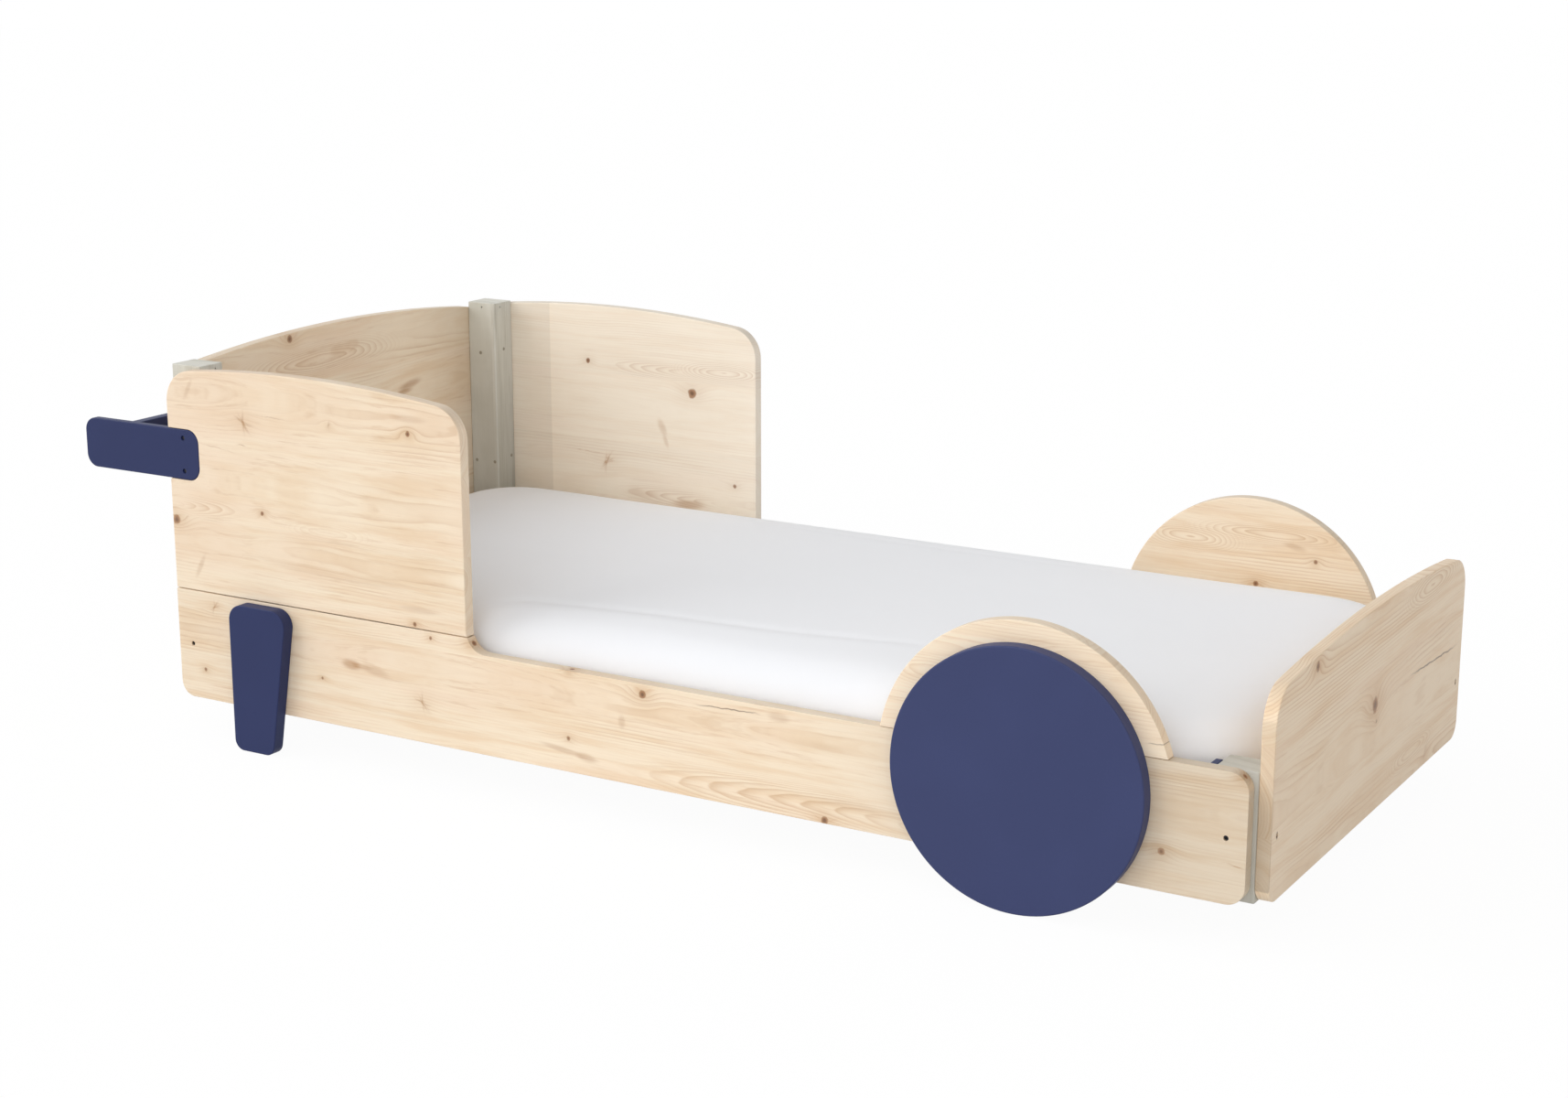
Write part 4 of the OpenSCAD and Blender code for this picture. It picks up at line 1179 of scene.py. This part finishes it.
class KIDSBED_OT_mattress(bpy.types.Operator):
    """Fill the mattress and let its cover settle"""

    bl_idname = "kids_bed.mattress"
    bl_label = "Mattress"

    FILL = 0.85
    # How far the settled cover may rise over the CAD mattress, and its sides lean on the rails
    RISE = 0.004
    LEAN = 0.006
    # Each: points along the fold seen from above, how deep it is and how far it reaches sideways
    FOLDS = (
        (((-0.30, -0.385), (-0.24, -0.352), (0.0, -0.322), (0.23, -0.308), (0.60, -0.25)), 0.0028, 0.010),
        (((-0.30, -0.410), (-0.24, -0.380), (0.0, -0.350), (0.23, -0.336), (0.60, -0.28)), -0.0012, 0.014),
        (((-0.75, 0.345), (-0.30, 0.338), (0.25, 0.322), (0.70, 0.335)), 0.0012, 0.014),
        (((-0.55, -0.10), (-0.20, -0.06), (0.15, -0.09)), 0.0005, 0.020),
        (((0.20, 0.12), (0.50, 0.09), (0.85, 0.13)), 0.0005, 0.022),
    )

    def execute(self, context):
        bedding = context.scene.kids_bed_bedding
        low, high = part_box("mattress")
        piece = merged_copy("mattress", "padded_mattress")
        modify(piece, "REMESH", mode="VOXEL", voxel_size=bedding.voxel)
        modify(piece, "SMOOTH", factor=0.5, iterations=6)
        full = self.places(piece)
        self.settle(context, piece, bedding, full)
        modify(piece, "SUBSURF", levels=1, render_levels=1)
        places = np.clip(self.places(piece), np.array(low), np.array(high) + (0.0, 0.0, self.RISE))
        self.lean_on_rails(places, high.y)
        for fold in self.FOLDS:
            self.fold(places, *fold)
        self.move(piece, places)
        pick(piece)
        bpy.ops.object.shade_smooth()
        dress(piece, cover_cloth(bedding), "mattress_cloth", "mattress")
        return {"FINISHED"}

    def lean_on_rails(self, places, side):
        """Pushes the long sides out towards the rails, but not beside the corner posts."""
        x = places[:, 0]
        free = np.clip((x + 0.80) / 0.15, 0.0, 1.0) * np.clip((1.0 - x) / 0.15, 0.0, 1.0)
        near = np.clip((np.abs(places[:, 1]) / side - 0.80) / 0.20, 0.0, 1.0)
        places[:, 1] += np.sign(places[:, 1]) * self.LEAN * free * near

    @staticmethod
    def fold(places, line, depth, width):
        """Presses a soft fold into the top of the cover along a line."""
        best = np.full(len(places), np.inf)
        ends = np.ones(len(places))
        total = len(line) - 1
        for number in range(total):
            start = np.array(line[number])
            run = np.array(line[number + 1]) - start
            share = ((places[:, :2] - start) @ run) / (run @ run)
            held = np.clip(share, 0.0, 1.0)
            away = np.linalg.norm(places[:, :2] - start - held[:, None] * run, axis=1)
            nearer = away < best
            best = np.where(nearer, away, best)
            ends = np.where(nearer, (number + held) / total, ends)
        fade = np.clip(np.minimum(ends, 1.0 - ends) * 6.0, 0.0, 1.0)
        above = places[:, 2] > places[:, 2].mean()
        places[:, 2] -= np.where(above, depth * fade * np.exp(-((best / width) ** 2)), 0.0)

    @staticmethod
    def places(piece):
        flat = np.empty(len(piece.data.vertices) * 3)
        piece.data.vertices.foreach_get("co", flat)
        return flat.reshape(-1, 3)

    @staticmethod
    def move(piece, places):
        piece.data.vertices.foreach_set("co", places.ravel())
        piece.data.update()

    def settle(self, context, piece, bedding, full):
        """Shrinks the cover, lets the filling push it out, and caps how far it goes."""
        middle = (full.min(0) + full.max(0)) / 2
        half = (full.max(0) - full.min(0)) / 2
        self.move(piece, middle + (full - middle) * (1.0 - bedding.slack / half))
        pick(piece)
        bpy.ops.object.modifier_add(type="CLOTH")
        cloth = piece.modifiers[-1]
        for name, value in (
            ("use_pressure", True),
            ("uniform_pressure_force", bedding.pressure),
            ("quality", 5),
            ("mass", 0.4),
            ("tension_stiffness", 18.0),
            ("compression_stiffness", 18.0),
            ("shear_stiffness", 8.0),
            ("bending_stiffness", 2.0),
        ):
            setattr(cloth.settings, name, value)
        cloth.settings.effector_weights.gravity = 0.0
        cloth.collision_settings.use_collision = False
        cloth.point_cache.frame_start = 1
        cloth.point_cache.frame_end = bedding.frames
        for number in range(1, bedding.frames + 1):
            context.scene.frame_set(number)
        bpy.ops.object.modifier_apply(modifier=cloth.name)
        context.scene.frame_set(1)
        moved = self.places(piece) - full
        far = np.linalg.norm(moved, axis=1, keepdims=True)
        self.move(piece, full + moved * np.minimum(1.0, bedding.swell / np.maximum(far, 1e-9)))
        modify(piece, "SMOOTH", factor=0.5, iterations=2)


class KIDSBED_OT_stage(bpy.types.Operator):
    """Set the floor, the soft light and the camera"""

    bl_idname = "kids_bed.stage"
    bl_label = "Stage"

    # How much of the floor that a viewer sees is plain white, and how bright that white is
    WHITE_SHARE = 0.93
    WHITE_STRENGTH = 1.03
    SENSOR = 36.0

    def execute(self, context):
        stage = context.scene.kids_bed_stage
        self.floor(stage)
        self.world(context, stage)
        self.lamps(stage)
        self.camera(context, stage)
        return {"FINISHED"}

    @staticmethod
    def seen(graph):
        """1 on rays that come from the camera, a reflection or glass, and 0 on others."""
        path = graph.add("LightPath")
        total = path.outputs["Is Camera Ray"]
        for name in ("Is Glossy Ray", "Is Transmission Ray"):
            total = graph.add("Math", total, path.outputs[name], operation="MAXIMUM").outputs[0]
        return total

    def floor(self, stage):
        deselect()
        bpy.ops.mesh.primitive_circle_add(vertices=96, radius=30.0, fill_type="NGON")
        floor = newest("studio_floor")
        graph = material_graph("studio_floor")
        matt = graph.add("BsdfDiffuse", Color=(*stage.floor, 1.0))
        white = graph.add("Emission", Strength=self.WHITE_STRENGTH)
        share = graph.add("Math", self.seen(graph), self.WHITE_SHARE, operation="MULTIPLY")
        mix = graph.add("MixShader", share.outputs[0], matt.outputs[0], white.outputs[0])
        graph.add("OutputMaterial", mix.outputs[0])
        give(floor, graph.owner)

    def world(self, context, stage):
        context.scene.world = bpy.data.worlds.new("studio")
        graph = Graph(context.scene.world)
        white = (1.0, 1.0, 1.0, 1.0)
        lit = graph.add("Background", white, stage.fill_strength)
        shown = graph.add("Background", white, 1.0)
        mix = graph.add("MixShader", self.seen(graph), lit.outputs[0], shown.outputs[0])
        graph.add("OutputWorld", mix.outputs[0])

    @staticmethod
    def lamps(stage):
        deselect()
        for name, strength, softness, aim in (
            ("key_lamp", stage.key_strength, 55.0, (0.78, 0.42, -0.50)),
            ("front_lamp", stage.front_strength, 80.0, (-0.32, 0.92, -0.24)),
        ):
            bpy.ops.object.light_add(type="SUN", location=[-4.0 * a for a in aim])
            lamp = newest(name)
            lamp.data.energy = strength
            lamp.data.angle = math.radians(softness)
            lamp.rotation_mode = "QUATERNION"
            lamp.rotation_quaternion = Vector(aim).to_track_quat("-Z", "Y")

    def camera(self, context, stage):
        deselect()
        bpy.ops.object.camera_add(
            location=stage.camera_place,
            rotation=(math.radians(90.0) - stage.camera_elevation, 0.0, stage.camera_azimuth),
        )
        camera = newest("photo_camera")
        camera.data.sensor_width = self.SENSOR
        camera.data.sensor_fit = "HORIZONTAL"
        camera.data.lens = stage.camera_lens
        camera.data.clip_start = 0.05
        camera.data.clip_end = 200.0
        context.scene.camera = camera
        context.scene.view_settings.view_transform = "Standard"


STEPS = (
    KIDSBED_OT_side_rails,
    KIDSBED_OT_head_side_boards,
    KIDSBED_OT_wheel_arches,
    KIDSBED_OT_end_panels,
    KIDSBED_OT_corner_posts,
    KIDSBED_OT_painted_parts,
    KIDSBED_OT_slatted_base,
    KIDSBED_OT_webbing,
    KIDSBED_OT_fasteners,
    KIDSBED_OT_mattress,
    KIDSBED_OT_stage,
)


class KIDSBED_PT_sidebar(bpy.types.Panel):
    """Lists the steps that finish the bed"""

    bl_label = "Kids Bed"
    bl_idname = "KIDSBED_PT_sidebar"
    bl_space_type = "VIEW_3D"
    bl_region_type = "UI"
    bl_category = "Kids Bed"

    def draw(self, context):
        for step in STEPS:
            self.layout.operator(step.bl_idname)
        for name, group in GROUPS.items():
            settings = getattr(context.scene, name)
            box = self.layout.box()
            for field in group.__annotations__:
                box.prop(settings, field)


def register():
    for name, group in GROUPS.items():
        bpy.utils.register_class(group)
        setattr(bpy.types.Scene, name, PointerProperty(type=group))
    for cls in (*STEPS, KIDSBED_PT_sidebar):
        bpy.utils.register_class(cls)


def unregister():
    for cls in reversed((*STEPS, KIDSBED_PT_sidebar)):
        bpy.utils.unregister_class(cls)
    for name, group in reversed(GROUPS.items()):
        delattr(bpy.types.Scene, name)
        bpy.utils.unregister_class(group)


def main():
    """Builds the bed step by step."""
    register()
    for step in STEPS:
        family, action = step.bl_idname.split(".")
        result = getattr(getattr(bpy.ops, family), action)()
        if result != {"FINISHED"}:
            raise RuntimeError(f"{step.bl_label} did not finish")


if __name__ == "__main__":
    main()
